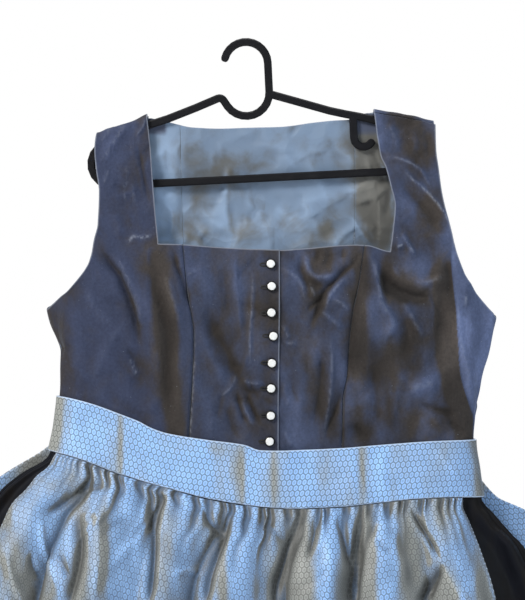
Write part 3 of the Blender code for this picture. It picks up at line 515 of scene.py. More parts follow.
class Paint:
    """A material under construction, with short calls for its nodes."""

    def __init__(self, name):
        self.material = bpy.data.materials.new(name)
        self.material.use_nodes = True
        self.tree = self.material.node_tree
        self.shader = self.tree.nodes["Principled BSDF"]

    def node(self, kind, inputs=(), **settings):
        made = self.tree.nodes.new(kind)
        for key, value in settings.items():
            setattr(made, key, value)
        for key, value in dict(inputs).items():
            self.feed(made.inputs[key], value)
        return made

    def feed(self, socket, value):
        if isinstance(value, bpy.types.NodeSocket):
            self.tree.links.new(value, socket)
        else:
            socket.default_value = value

    def set(self, **values):
        for key, value in values.items():
            self.feed(self.shader.inputs[key.replace("_", " ")], value)

    def math(self, operation, a, b=0.0, c=0.0):
        made = self.node("ShaderNodeMath", {0: a, 1: b, 2: c}, operation=operation)
        return made.outputs[0]

    def times(self, a, b):
        return self.math("MULTIPLY", a, b)

    def sum(self, first, *others):
        """A value with each of the (value, factor) pairs added."""
        for value, factor in others:
            first = self.math("ADD", first, self.times(value, factor))
        return first

    def vector(self, operation, a, b=(0, 0, 0)):
        made = self.node("ShaderNodeVectorMath", {0: a, 1: b}, operation=operation)
        return made.outputs["Value" if operation in ("LENGTH", "DOT_PRODUCT") else "Vector"]

    def fade(self, value, low, high):
        """0 at low, 1 at high and smooth between; low may be the greater."""
        made = self.node(
            "ShaderNodeMapRange",
            {"Value": value, "From Min": low, "From Max": high},
            interpolation_type="SMOOTHSTEP",
        )
        return made.outputs["Result"]

    def colour_blend(self, share, a, b):
        made = self.node("ShaderNodeMix", data_type="RGBA")
        self.feed(made.inputs[0], share)
        self.feed(made.inputs[6], a)
        self.feed(made.inputs[7], b)
        return made.outputs[2]

    def scaled(self, colour, factor):
        made = self.node("ShaderNodeVectorMath", {0: colour, "Scale": factor}, operation="SCALE")
        return made.outputs[0]

    def place(self):
        return self.node("ShaderNodeTexCoord").outputs["Object"]

    def cut(self):
        return self.node("ShaderNodeUVMap", uv_map="cut").outputs["UV"]

    def stretch(self, coordinates, x, y, z, turn=0.0):
        made = self.node(
            "ShaderNodeMapping",
            {"Vector": coordinates, "Scale": (x, y, z), "Rotation": (0, turn, 0)},
        )
        return made.outputs["Vector"]

    def noise(self, coordinates, scale, detail=3.0, roughness=0.5, distortion=0.0):
        made = self.node("ShaderNodeTexNoise", {
            "Vector": coordinates, "Scale": scale, "Detail": detail,
            "Roughness": roughness, "Distortion": distortion,
        })
        return made.outputs[0]

    def facets(self, coordinates, scale):
        """The distance from the nearest of randomly placed points."""
        inputs = {"Vector": coordinates, "Scale": scale}
        return self.node("ShaderNodeTexVoronoi", inputs).outputs["Distance"]

    def part(self, vector, axis):
        return self.node("ShaderNodeSeparateXYZ", {0: vector}).outputs[axis]

    def painted(self, name):
        return self.node("ShaderNodeAttribute", attribute_name=name).outputs["Fac"]

    def leaning(self, axis):
        """How far the surface faces along an axis of the object's space, -1 to 1."""
        return self.part(self.node("ShaderNodeNewGeometry").outputs["Normal"], axis)

    def toned(self, colour, value, low, high, darkest, lightest):
        """The colour, darker where a value is low and lighter where it is high."""
        tone = self.node("ShaderNodeMapRange", {
            "Value": value, "From Min": low, "From Max": high, "To Min": darkest,
            "To Max": lightest,
        })
        return self.scaled(colour, tone.outputs["Result"])

    def bump(self, *layers):
        """Bump from (height, depth in metres) layers, each on the one before."""
        below = None
        for height, depth in layers:
            made = self.node("ShaderNodeBump", {"Height": height, "Distance": depth})
            if below is not None:
                self.feed(made.inputs["Normal"], below)
            below = made.outputs["Normal"]
        self.set(Normal=below)


# ---------------------------------------------------------------- bodice

STRAP_SHARE = 0.75  # how much of the way across a side panel its strap takes up
BODY_ROWS = 138
FRONT_ARMHOLE_ROWS, BACK_ARMHOLE_ROWS = 62, 84  # those beside the armhole's edge
FRONT_TIP, BACK_TIP = 0.42, 0.55  # the share of the rows above the underarm's tip
STRAP_ROWS = 104  # of a front strap, below its turn over the shoulder


def outwards(facing, points, *others):
    """The same grids with columns running rightwards from outside; facing is -1 in front."""
    if normals_of(points)[..., 1].mean() * facing < 0:
        points, others = points[:, ::-1], [grid[:, ::-1] for grid in others]
    return [points, *others]


def body_out(turn, z):
    """The way out of the body's surface."""
    return out_of(body_point, turn, z, 0.004, 0.5)


def strap_out(x, path):
    """The way out of a strap."""
    return out_of(shoulder_point, x, path, 0.5, 0.5)


def front_point(x, z):
    """The front's points at these x and heights, straps included."""
    return above_bust(z, shoulder_point(x, -path_down(x, z)), body_point(front_turn(x, z), z))


def front_out(x, z):
    return above_bust(z, strap_out(x, -path_down(x, z)), body_out(front_turn(x, z), z))


def back_point(turn, z):
    """The back's points at these angles and heights, straps included."""
    body = body_point(turn, z)
    return above_bust(z, shoulder_point(body[..., 0], path_down(body[..., 0], z)), body)


def back_out(turn, z):
    x = body_point(turn, z)[..., 0]
    return above_bust(z, strap_out(x, path_down(x, z)), body_out(turn, z))


def fitted(z, s, top, bottom, top_haste, bottom_haste):
    """Heights moved so that the first and last row lie on these lines; s runs down the rows.

    The greater the haste, the fewer rows move."""
    z = z + (top - z[0]) * np.clip(1 - top_haste * s, 0, 1)
    return z + (bottom - z[-1]) * np.clip(bottom_haste * s - bottom_haste + 1, 0, 1)


def strap_spread(side, t, drop, down, armhole, corner_x=None, corner_z=None):
    """The x and height of strap places, from the shoulder line down to the neckline's row."""
    x = mix(armhole(-100.0), side.strap_inner(STRAP_TOP_INSIDE), t) + 0 * drop
    for _ in range(12):  # x and height depend on each other, and settle in this many rounds
        top = SHOULDER_LINE(x) - drop
        z = top if corner_z is None else mix(top, corner_z, down)
        x = mix(armhole(z), side.strap_inner(z), t)
        if corner_x is not None:
            last = mix(armhole(corner_z), side.strap_inner(corner_z), t)
            x = x + (corner_x - last) * down**3
    return x, z


def eased_to_tip(s, tip_share, top, tip, bottom):
    """Heights down a panel's outer edge, its rows closing up towards the underarm's tip."""
    above = mix(top, tip, 1 - (1 - np.clip(s / tip_share, 0, 1)) ** 1.7)
    below = mix(tip, bottom, np.clip((s - tip_share) / (1 - tip_share), 0, 1))
    return np.where(s < tip_share, above, below)


def side_spread(side, t, outer, inner, turn_at, armhole, seam, under_arm):
    """The angles and heights of a side panel's body rows, from its outer edge to its seam."""
    start = np.where(outer > side.tip, turn_at(armhole(outer), outer), side.sign * under_arm)
    end = turn_at(seam(inner) + side.sign * SEAM_GAP / 2, inner)
    return mix(start, end, t), mix(outer, inner, t)


def side_cells(rows, t, above):
    """Which cells of a side panel's grid are cloth: above the neckline, only the strap's."""
    cells = np.ones((rows - 1, len(t) - 1), bool)
    cells[:above, t[1:] > STRAP_SHARE + 1e-6] = False
    return cells


def front_side_grid(side):
    """A front side panel's points, their ways out, its cells and how many rows its strap has."""
    inner_edge = STRAP_SHARE * spaced(60, (0.003, 0.009), (0.003, 0.009))
    t = np.concatenate([inner_edge, mix(STRAP_SHARE, 1.0, spaced(22, (0.01, 0.03))[1:])])
    waist = waist_height(side.outline(WAIST_LEVEL)) + WAIST_GAP
    seam_waist = waist_height(side.seam_front(SEAM_FOOT))
    s = spaced(BODY_ROWS, (0.002, 0.006))[:, None]
    outer = eased_to_tip(s, FRONT_TIP, side.corner, side.tip, waist)
    inner = mix(side.seam_top, seam_waist, s)
    turn, z = side_spread(
        side, t, outer, inner, front_turn, side.armhole_front, side.seam_front,
        SIDE_SEAM - SIDE_GAP,
    )
    x = body_point(turn, z)[..., 0]
    neck = np.minimum(NECKLINE(x[0]), z[0]) if side.sign < 0 else NECKLINE(x[0])
    z = fitted(z, s, neck, waist_height(x[-1]) + WAIST_GAP, 8, 9)
    body = body_point(turn, z)

    on_strap = np.minimum(t / STRAP_SHARE, 1.0)
    quarter = SHOULDER_FOLD * math.pi / 2
    path = np.linspace(-side.shoulder_seam - SEAM_GAP / 2, -quarter, 5)[:-1, None]
    drop = SHOULDER_FOLD * (1 - np.cos(np.abs(path) / SHOULDER_FOLD))
    over_x, _ = strap_spread(side, on_strap, drop, 0.0, side.armhole_front)
    over = shoulder_point(over_x, path + 0 * over_x)
    down = shares(STRAP_ROWS)[:-1, None]
    low_x, low_z = strap_spread(
        side, on_strap, SHOULDER_FOLD + 0 * down, down, side.armhole_front, body[0, :, 0],
        body[0, :, 2],
    )
    low = front_point(low_x, low_z)
    points = np.concatenate([over, low, body])
    out = np.concatenate([
        strap_out(over_x, path + 0 * over_x), front_out(low_x, low_z), body_out(turn, z),
    ])
    above = len(over) + len(low)
    return points, out, side_cells(len(points), t, above), above


def front_centre_grid(left_x, right_x, left_ends, right_ends, count):
    """A front middle panel between two edges, each a curve of x over height."""
    s = spaced(BODY_ROWS, (0.002, 0.006))[:, None]
    t = spaced(count, (0.008,), (0.004, 0.012))
    left_z, right_z = mix(*left_ends, s), mix(*right_ends, s)
    x = mix(left_x(left_z), right_x(right_z), t)
    z = mix(left_z, right_z, t)
    z = fitted(z, s, NECKLINE(x[0]), waist_height(x[-1]) + WAIST_GAP, 9, 9)
    return front_point(x, z), front_out(x, z)


def back_side_grid(side):
    """A back side panel, from the shoulder seam in front over the top to the waist."""
    strap_columns = STRAP_SHARE * spaced(40, (0.004,), (0.004,))
    t = np.concatenate([strap_columns, mix(STRAP_SHARE, 1.0, spaced(18, (), (0.004, 0.02))[1:])])
    on_strap = np.minimum(t / STRAP_SHARE, 1.0)
    inner_x = side.strap_inner(STRAP_TOP_INSIDE)
    seam_x = side.seam_back(BACK_SEAM_TOP) + side.sign * SEAM_GAP / 2
    neck_x = mix(side.armhole_back(BACK_STRAP_FOOT), inner_x, on_strap)
    beyond = np.clip((t - STRAP_SHARE) / (1 - STRAP_SHARE), 0, 1)
    neck_x = np.where(t > STRAP_SHARE, mix(inner_x, seam_x, beyond), neck_x)
    neck_z = mix(SHOULDER_LINE(neck_x) - SHOULDER_FOLD, BACK_NECK(inner_x), on_strap**4)
    neck_z = np.where(t > STRAP_SHARE, BACK_NECK(neck_x), neck_z)

    s = spaced(BODY_ROWS, (0.003,))[:, None]
    waist = waist_height(side.outline(WAIST_LEVEL)) + WAIST_GAP
    outer_top = SHOULDER_LINE(side.armhole_back(BACK_STRAP_FOOT)) - SHOULDER_FOLD
    outer = eased_to_tip(s, BACK_TIP, outer_top, side.tip, waist)
    inner = mix(BACK_NECK(seam_x), waist_height(seam_x, back=True), s)
    turn, z = side_spread(
        side, t, outer, inner, back_turn, side.armhole_back, side.seam_back,
        SIDE_SEAM + SIDE_GAP,
    )
    x = body_point(turn, z)[..., 0]
    x = x + (neck_x - x[0]) * np.clip(1 - 5 * s, 0, 1)
    z = fitted(z, s, neck_z, waist_height(x[-1], back=True) + WAIST_GAP, 5, 13)
    turn = np.where(5 * s < 1, back_turn(x, z), turn)
    body = back_point(turn, z)

    gap_path = SEAM_GAP / 2 - side.shoulder_seam
    end_path = path_down(neck_x, neck_z)
    share = shares(16)[:-1, None]
    path = mix(gap_path, end_path, share)
    over_x = mix(mix(side.armhole_back(STRAP_TOP_OUTSIDE), inner_x, on_strap), neck_x, share)
    over = shoulder_point(over_x, path)
    points = np.concatenate([over, body])
    out = np.concatenate([strap_out(over_x, path), back_out(turn, z)])
    return points, out, side_cells(len(points), t, len(over)), len(over)


def back_centre_grid():
    """The back's middle panel, between the two seams."""
    s = spaced(BODY_ROWS, (0.003,))[:, None]
    t = spaced(74, (0.0008, 0.003), (0.0008, 0.003))
    gap = SEAM_GAP / 2
    left_z = mix(BACK_NECK(-82.0), waist_height(-66.0, back=True), s)
    right_z = mix(BACK_NECK(130.0), waist_height(112.0, back=True), s)
    x = mix(LEFT.seam_back(left_z) + gap, RIGHT.seam_back(right_z) - gap, t)
    z = mix(left_z, right_z, t)
    z = fitted(z, s, BACK_NECK(x[0]), waist_height(x[-1], back=True) + WAIST_GAP, 13, 13)
    turn = back_turn(x, z)
    return back_point(turn, z), back_out(turn, z)


# ---------------------------------------------------------------- skirt, apron and ties

HEM = -1180.0
SKIRT_LENGTH = 700.0
SKIRT_HEM = 30.0  # the height of the stitches above the edge
RING_POWER = 2.3
RING_BEHIND, RING_FADE = math.radians(117), math.radians(14)  # it flares sooner behind
# The skirt's ring at distances down from the waist seam.
RING_LEFT = smooth_curve(
    (0, -234), (45, -247), (62, -269), (89, -302), (142, -337), (228, -364), (350, -395),
    (490, -413), (700, -430),
)
RING_RIGHT = smooth_curve(
    (0, 276), (45, 283), (66, 298), (95, 322), (109, 335), (160, 362), (228, 386), (350, 413),
    (490, 426), (700, 438),
)
RING_DEPTH = smooth_curve(
    (0, 32), (40, 34), (92, 48), (142, 56), (228, 64), (350, 72), (490, 80), (700, 90)
)
FRONT_FOLDS = [  # (degrees round the ring, how far it rises or sinks)
    (-90, 0.2), (-82, -0.8), (-74, 0.7), (-66, -0.5), (-52, 0.2), (-40, -0.2), (-28, 0.2),
    (-15, -0.2), (0, 0.2), (13, -0.2), (26, 0.2), (38, -0.2), (48, 0.2), (58, -0.6), (67, 0.8),
    (78, -0.8), (90, 0.2),
]
BACK_FOLDS = [
    (90, 0.2), (99, -0.8), (108, 0.9), (119, -0.9), (130, 0.7), (140, -0.6), (149, 1.0),
    (161, -1.0), (171, 0.8), (180, -0.7), (190, 0.9), (200, -1.0), (211, 0.8), (221, -0.8),
    (232, 1.0), (243, -0.7), (253, 0.9), (262, -0.9), (270, 0.2),
]
UNDER_APRON = 62  # degrees to either side
FOLD_HEIGHT = smooth_curve((0, 0), (36, 0.6), (60, 3), (92, 6), (228, 11), (450, 16), (700, 20))
BAND_LIFT, BAND_LAP_LIFT = 3.8, 2.0  # off the body, and more over the lapped front
BAND_WIDTH = 67.0
BAND_ENDS = (math.radians(-137), math.radians(134.5))
APRON_GAP = 0.15
APRON_LENGTH = 640.0
APRON_DRAWN_TO = -675.0  # the patches' drawing ends here, and what is at its foot goes on
APRON_LEFT = smooth_curve(
    (38, -229), (61, -247), (77, -260), (93, -275), (112, -285), (125, -291), (138, -297),
    (250, -327), (400, -350), (640, -370),
)
APRON_RIGHT = smooth_curve(
    (38, 251), (68, 263), (92, 271), (116, 278.5), (144, 286), (170, 292), (300, 316), (640, 346)
)
APRON_FOLDS = [  # (place across at the band, place across low down, height)
    (0.00, 0.000, 0.40), (0.07, 0.074, 0.85), (0.171, 0.157, 0.0), (0.245, 0.235, 1.0),
    (0.328, 0.336, 0.12), (0.385, 0.384, 0.75), (0.470, 0.435, 0.0), (0.520, 0.503, 0.9),
    (0.616, 0.598, 0.0), (0.690, 0.670, 1.0), (0.765, 0.718, 0.05), (0.800, 0.789, 0.7),
    (0.852, 0.861, 0.1), (0.930, 0.932, 1.0), (1.00, 1.000, 0.35),
]
FOLD_HASTE = 0.62  # their left sides are the steeper
FOLD_FULLNESS = 0.62  # below 1, they are fuller than a plain wave
APRON_FOLD_HEIGHT = smooth_curve((40, 0), (56, 3), (75, 7), (112, 12), (160, 17), (640, 27))
APRON_STANDOFF = smooth_curve((38, 3.4), (48, 6.3), (75, 9), (160, 14), (640, 20))
STITCH_WIDTH = 0.8
APRON_HEMS = (3.5, 8.0)  # how far in from its sides the apron is stitched
APRON_FOOT_HEM = 20.0
PUCKERS, SMALL_PUCKERS = 36, 64
PUCKER_HEIGHT = smooth_curve((38, 1.0), (46, 3.4), (62, 4.2), (90, 3.5), (125, 1.0), (140, 0))
TIE_WIDTH = 66.0
TIE_HEM = (3.0,)
TIE_FOOT_HEM = 8.0
TIE_PATHS = {
    "left": [
        (-165, -467), (-196, -490), (-231, -520), (-286, -554), (-330, -590), (-362, -646),
        (-378, -730), (-386, -850), (-392, -980), (-396, -1100),
    ],
    "right": [
        (220, -507), (248, -535), (290, -580), (332, -600), (372, -630), (394, -690),
        (402, -780), (406, -880), (409, -990), (411, -1100),
    ],
}
TIE_CLEARANCE = (3.4, 6.0)  # off the band at its end, and off the skirt's outermost folds
TIE_ROOT = 0.08  # the share of a tie's length that turns from the band's upright end
TIE_BEHIND = smooth_curve((0, 24), (0.2, 26), (0.5, 34), (1, 44))


def folds(knots, places, place, haste=1.0):
    """The height at places between ridges and valleys, each joined to the next by a wave.

    Haste below 1 makes each ridge rise more steeply on its left side."""
    heights = [knot[-1] for knot in knots]
    total = np.full(np.shape(place), heights[0], float)
    for a, b, low, high in zip(places, places[1:], heights, heights[1:]):
        t = np.clip((place - a) / (b - a), 0.0, 1.0)
        if high > low:
            t = t**haste
        total = total + (high - low) * (0.5 - 0.5 * np.cos(math.pi * t))
    return total


def seam_height(turn):
    """The height of the waist seam at an angle round the body."""
    x = BODY_MIDDLE + np.abs(outline_at(turn, WAIST_LEVEL) - BODY_MIDDLE) * oval(turn)[0]
    return np.where(off_front(turn) > SIDE_SEAM, waist_height(x, back=True), waist_height(x))


def ring_height(turn, down):
    """The height of the skirt's rows: level at the hem, and sloping like the seam above."""
    top = seam_height(turn)
    return top - down * (top - HEM) / SKIRT_LENGTH


def ring_middle(down):
    return (RING_LEFT(down) + RING_RIGHT(down)) / 2


def ring_half(down):
    return (RING_RIGHT(down) - RING_LEFT(down)) / 2


def ring_share(x, down):
    """The way from the ring's middle (0) to its left (-1) or right (1) side."""
    return (x - ring_middle(down)) / ring_half(down)


def ring_point(turn, down):
    """The skirt's form without its folds: the body's at the waist, then a wider ring."""
    z = ring_height(turn, down)
    behind = ramp((off_front(turn) - RING_BEHIND) / RING_FADE)
    flare = ramp((down - mix(38, 4, behind)) / mix(30, 48, behind))
    across, depth = oval(turn, RING_POWER)
    own = points_of(ring_middle(down) + ring_half(down) * across, RING_DEPTH(down) * depth, z)
    return mix(body_point(turn, z), own, flare[..., None])


def ring_out(turn, down):
    """The level way out of the skirt's ring."""
    return unit(points_of(np.sin(turn) / ring_half(down), -np.cos(turn) / RING_DEPTH(down), 0.0))


def skirt_point(turn, down):
    """The skirt's outer face, its folds lower where the apron hides them."""
    degrees = np.degrees(turn)
    front = folds(FRONT_FOLDS, [a for a, _ in FRONT_FOLDS], degrees)
    back = folds(BACK_FOLDS, [a for a, _ in BACK_FOLDS], degrees % 360)
    rise = np.where(np.abs(degrees) <= 90, front, back)
    hidden = ramp((UNDER_APRON - np.abs(degrees)) / 12)
    height = FOLD_HEIGHT(down) * mix(1.0, 0.6, hidden)
    return ring_point(turn, down) + ring_out(turn, down) * (height * rise)[..., None]


def apron_turn(across, down):
    """The angle round the skirt's ring of a place across the apron, 0 to 1."""
    edges = (APRON_LEFT(down), APRON_RIGHT(down))
    ends = [oval_turn(ring_share(edge, down), RING_POWER) for edge in edges]
    return mix(*ends, across)


def apron_folds(across, down):
    """How far the big folds rise at each place, 0 to 1."""
    settle = ramp((down - 45) / 110)
    places = [mix(high, low, settle) for high, low, _ in APRON_FOLDS]
    return np.maximum(folds(APRON_FOLDS, places, across, FOLD_HASTE), 0) ** FOLD_FULLNESS


def apron_point(across, down, puckers):
    """The apron's outer face; puckers is the gathers' wave at each place, -1 to 1."""
    turn = apron_turn(across, down)
    rise = APRON_STANDOFF(down) + 1.5 * ramp((down - 50) / 30)
    rise = rise + 1.3 * APRON_FOLD_HEIGHT(down) * apron_folds(across, down)
    rise = rise + PUCKER_HEIGHT(down) * puckers
    return ring_point(turn, down) + ring_out(turn, down) * rise[..., None]


def band_edges(turn):
    """The heights of the band's upper and lower edge at an angle round the body."""
    behind = np.abs(turn) > SIDE_SEAM
    top = seam_height(turn) + SEAM_UNDER_BAND
    x = body_point(turn, -490.0)[..., 0]
    return np.where(behind, top, BAND_TOP(x)), np.where(behind, top - BAND_WIDTH, BAND_BOTTOM(x))


def band_path(turn):
    """How far below the waist seam the band's lower edge lies, along the skirt's path."""
    top = seam_height(turn)
    return (top - band_edges(turn)[1]) * SKIRT_LENGTH / (top - HEM)


def reach_behind(x, z):
    """How far back the dress reaches at this x and height, its folds and band included."""
    reach = BACK_DEPTH(z) * oval_depth(half_share(x, z), ROUNDNESS) + BAND_LIFT
    top = waist_height(x, back=True)
    down = np.maximum(top - z, 0.0) * SKIRT_LENGTH / (top - HEM)
    ring = RING_DEPTH(down) * oval_depth(ring_share(x, down), RING_POWER)
    return np.maximum(reach, ring + FOLD_HEIGHT(down))


def band_grid():
    """The waistband's points, raised where it runs over the lapped front."""
    turn = mix(*BAND_ENDS, spaced(276, (0.0008, 0.002), (0.0008, 0.002)))
    share = spaced(28, (0.008, 0.022), (0.008, 0.022))[:, None]
    top, bottom = band_edges(turn)
    points = body_point(turn, mix(top, bottom, share))
    x = points[..., 0]
    over_lap = ramp((x - LAP_START + 20) / 18) * (1 - ramp((x - LAP_EDGE - 6) / 20))
    return points + normals_of(points) * (BAND_LIFT + BAND_LAP_LIFT * over_lap)[..., None]


def tie_grid(name):
    """A tie's points: folded back over the band's end, it hangs by the skirt's side."""
    t = shares(170)
    path = along(TIE_PATHS[name], len(t))
    run = unit(np.gradient(path, axis=0))
    outwards_x = 1 if name == "left" else -1
    turned = ramp(t / TIE_ROOT)[:, None]
    across = np.stack([run[:, 1], -run[:, 0]], axis=-1) * outwards_x
    across = unit(mix(np.array([0.0, 1.0]), across, turned))
    share = mix(-0.5, 0.5, spaced(16, (0.01,), (0.01,)))
    flat = path[:, None] + across[:, None] * TIE_WIDTH * share[:, None]
    x, z = flat[..., 0], flat[..., 1]
    y = np.maximum(reach_behind(x, z) + mix(*TIE_CLEARANCE, turned), TIE_BEHIND(t)[:, None])
    return points_of(x, y, z)


# ---------------------------------------------------------------- where the cloth is creased

DRAWING = 1.22  # creases are drawn on a grid of squares this wide, from the top left
DRAWING_ORIGIN = (247.3, 46.2)  # the dress's origin on it


def drawn(*places):
    """Places of the creases' drawing as (x, z) in millimetres."""
    return [
        ((x - DRAWING_ORIGIN[0]) * DRAWING, (DRAWING_ORIGIN[1] - y) * DRAWING) for x, y in places
    ]


# In these tables a row is a line on the drawing, then a crease's width, height and, where
# they aren't 1 and 0, sharp and shine.
FRONT_CREASES = [
    # left strap
    ([(128, 121), (117, 138), (106, 156), (99, 163)], 6, 1.6, 1, 0.3),
    ([(137, 140), (140, 155), (146, 187), (150, 207)], 3, -1.2, 0.7),
    ([(112, 122), (109, 132), (100, 143)], 5, 1.0, 1, 0.2),
    ([(146, 116), (143, 128), (134, 138)], 4, 1.3, 0.7, 0.3),
    ([(126, 165), (128, 174), (126, 190)], 4, 0.4, 1, 0.25),
    ([(110, 168), (103, 188)], 4, 0.5, 1, 0.2),
    ([(123, 180), (127, 204)], 4, 0.4, 1, 0.2),
    ([(132, 182), (136, 206)], 4, 0.5, 1, 0.2),
    ([(127, 247), (135, 237), (143, 238), (156, 234)], 5, 0.9, 0.7, 0.8),
    ([(112, 212), (120, 226), (122, 240)], 6, 1.2, 1, 0.0),
    # left front
    ([(99, 240), (103, 249), (106, 260), (114, 265), (121, 274), (126, 286), (132, 299),
      (136, 313), (139, 331), (141, 354)], 5.5, -3.6, 0.6),
    ([(109, 256), (120, 263), (130, 281), (138, 300), (144, 330)], 7, 2.0, 1, 0.25),
    ([(131, 357), (138, 376)], 3.5, 1.2, 1, 0.7),
    ([(128, 345), (134, 360), (138, 372)], 5, -1.2, 1),
    ([(86, 285), (97, 310), (117, 328)], 7, 1.2, 1, 0.1),
    ([(128, 316), (120, 330), (111, 343), (89, 391)], 7, 1.2, 1, 0.05),
    ([(70, 300), (78, 330), (80, 370)], 9, 1.2),
    ([(152, 247), (155, 262), (158, 295), (168, 319), (170, 354), (170, 402),
      (174, 432)], 9, -3.0, 0.8),
    ([(146, 262), (149, 300), (156, 340), (158, 400)], 9, 1.8),
    ([(166, 270), (174, 300), (183, 327)], 8, 2.2, 0.7, 0.15),
    ([(173, 247), (178, 266), (185, 283), (191, 311)], 4, -2.6, 0.6),
    ([(179, 340), (177, 380), (180, 425)], 9, 1.6),
    ([(97, 385), (108, 405), (113, 425)], 8, 1.0),
    ([(120, 395), (133, 412), (150, 428)], 8, -1.0),
    # left of the buttons
    ([(233, 250), (236, 277), (239, 305), (242, 348)], 6, 1.8, 0.8),
    ([(223, 262), (226, 290), (229, 320)], 7, -1.6),
    ([(247, 266), (253, 281), (252, 305), (250, 339), (250, 372)], 3.5, 1.2, 0.8, 0.45),
    ([(207, 300), (215, 333), (226, 350), (236, 370), (242, 384), (247, 396)], 8, -2.4, 0.8),
    ([(200, 320), (206, 345), (220, 372), (230, 392)], 7, 1.6),
    ([(241, 376), (250, 382), (265, 382)], 3.5, 1.5, 0.8, 0.35),
    ([(240, 386), (252, 391), (264, 391)], 3.5, -1.4),
    ([(236, 389), (241, 408), (247, 424)], 3.5, -1.9, 0.7),
    ([(245, 390), (253, 408), (261, 425)], 3.5, -1.9, 0.7),
    ([(241, 398), (247, 412), (254, 426)], 3.5, 1.5, 1, 0.3),
    ([(220, 396), (232, 385), (237, 371)], 3.5, 1.1, 1, 0.35),
    ([(187, 276), (199, 270)], 3.5, 1.0, 1, 0.3),
    ([(204, 385), (210, 410), (214, 440)], 7, 1.3),
    ([(226, 400), (230, 420), (238, 438)], 5, -1.3),
    ([(196, 262), (208, 285), (212, 300)], 8, 1.4),
    # right of the buttons
    ([(304, 252), (307, 269), (317, 278), (331, 277), (339, 271)], 5, 2.6, 0.7, 0.25),
    ([(300, 253), (301, 268), (311, 285), (330, 286)], 5, -2.2),
    ([(315, 249), (317, 264)], 3.5, -1.2),
    ([(330, 251), (327, 262), (323, 269)], 3.5, -1.2),
    ([(342, 248), (341, 260)], 3.5, -1.0),
    ([(363, 248), (354, 262), (338, 276), (327, 288), (321, 295), (318, 308), (311, 322),
      (309, 334)], 4.5, -2.8, 0.7),
    ([(349, 276), (337, 286), (328, 298), (324, 312)], 5, 1.8, 0.8, 0.35),
    ([(322, 295), (313, 304), (305, 312)], 3.5, -1.6, 0.7),
    ([(309, 282), (314, 298)], 3.5, 1.2, 1, 0.35),
    ([(281, 268), (296, 278), (303, 290), (304, 303)], 4, 1.4, 0.8, 0.3),
    ([(330, 298), (341, 304), (349, 312)], 3.5, 1.2, 1, 0.3),
    ([(318, 310), (331, 319), (343, 330)], 4.5, 1.6, 0.7, 0.3),
    ([(328, 332), (331, 361), (330, 382), (327, 410), (321, 446)], 5, 1.7, 0.8, 0.25),
    ([(319, 340), (321, 370), (318, 400), (312, 430)], 6, -1.8),
    ([(342, 383), (337, 401), (328, 422), (323, 444)], 5, -1.7, 0.8),
    ([(297, 352), (300, 385), (297, 420)], 8, 1.3),
    ([(282, 324), (289, 340)], 3.5, 1.1, 1, 0.3),
    ([(282, 342), (297, 344)], 3.5, 1.1, 1, 0.3),
    ([(283, 380), (289, 407)], 3.5, 1.1, 1, 0.2),
    ([(283, 428), (293, 446)], 3.5, 1.2, 1, 0.2),
    # right front
    ([(357, 262), (354, 300), (350, 350), (348, 400)], 6, -1.6),
    ([(366, 248), (376, 277), (380, 305), (392, 321), (379, 345)], 6, 2.6, 0.7, 0.3),
    ([(370, 353), (373, 375), (376, 403), (379, 432)], 5, -1.6, 0.8),
    ([(353, 420), (366, 443)], 5, -2.2, 0.8),
    ([(380, 264), (385, 283), (398, 292), (412, 297), (437, 298)], 8, -4.4, 0.8),
    ([(386, 262), (396, 276), (412, 283), (430, 284)], 7, 1.8),
    ([(398, 299), (410, 317), (417, 331), (424, 339)], 5, 2.0, 0.8, 0.25),
    ([(400, 312), (404, 330), (404, 360)], 7, -1.6),
    ([(443, 265), (440, 300), (437, 345), (433, 380)], 8, -1.6),
    ([(452, 285), (455, 295), (458, 343), (464, 360), (468, 390), (474, 408)], 6, 1.8, 0.8, 0.25),
    ([(464, 293), (464, 308)], 3.5, 1.0, 1, 0.7),
    ([(470, 285), (474, 330), (475, 380), (474, 432)], 24, 0.4),
    ([(405, 393), (417, 385), (437, 381)], 10, 2.4, 0.8, 0.25),
    ([(414, 402), (436, 409), (458, 416)], 4.5, -2.2, 0.8),
    ([(446, 418), (464, 436)], 4.5, -2.0, 0.8),
    ([(392, 350), (398, 372), (394, 400), (386, 430)], 7, 1.4),
    ([(406, 419), (424, 427), (440, 440)], 6, 1.4),
    # right strap
    ([(386, 122), (393, 135), (396, 152)], 6, 1.2, 1, 0.15),
    ([(380, 158), (392, 158), (406, 162), (420, 171), (431, 191)], 4, 1.7, 0.6, 0.35),
    ([(400, 162), (408, 177), (420, 187), (430, 197), (442, 212), (448, 224),
      (453, 246)], 4, 1.7, 0.8, 0.6),
    ([(396, 178), (408, 194), (420, 206), (432, 222), (438, 240)], 6, -1.8),
    ([(400, 232), (405, 242), (415, 258)], 4.5, 2.2, 0.6, 0.45),
    ([(394, 248), (403, 245)], 3.5, 1.2, 1, 0.7),
    ([(414, 286), (425, 283), (444, 275)], 6, 1.8, 0.7, 0.25),
    ([(443, 259), (449, 279), (448, 301)], 5, -2.0, 0.8),
    ([(424, 128), (428, 142), (427, 158)], 5, -1.2),
    ([(412, 128), (414, 143), (411, 158)], 5, 1.2),
]
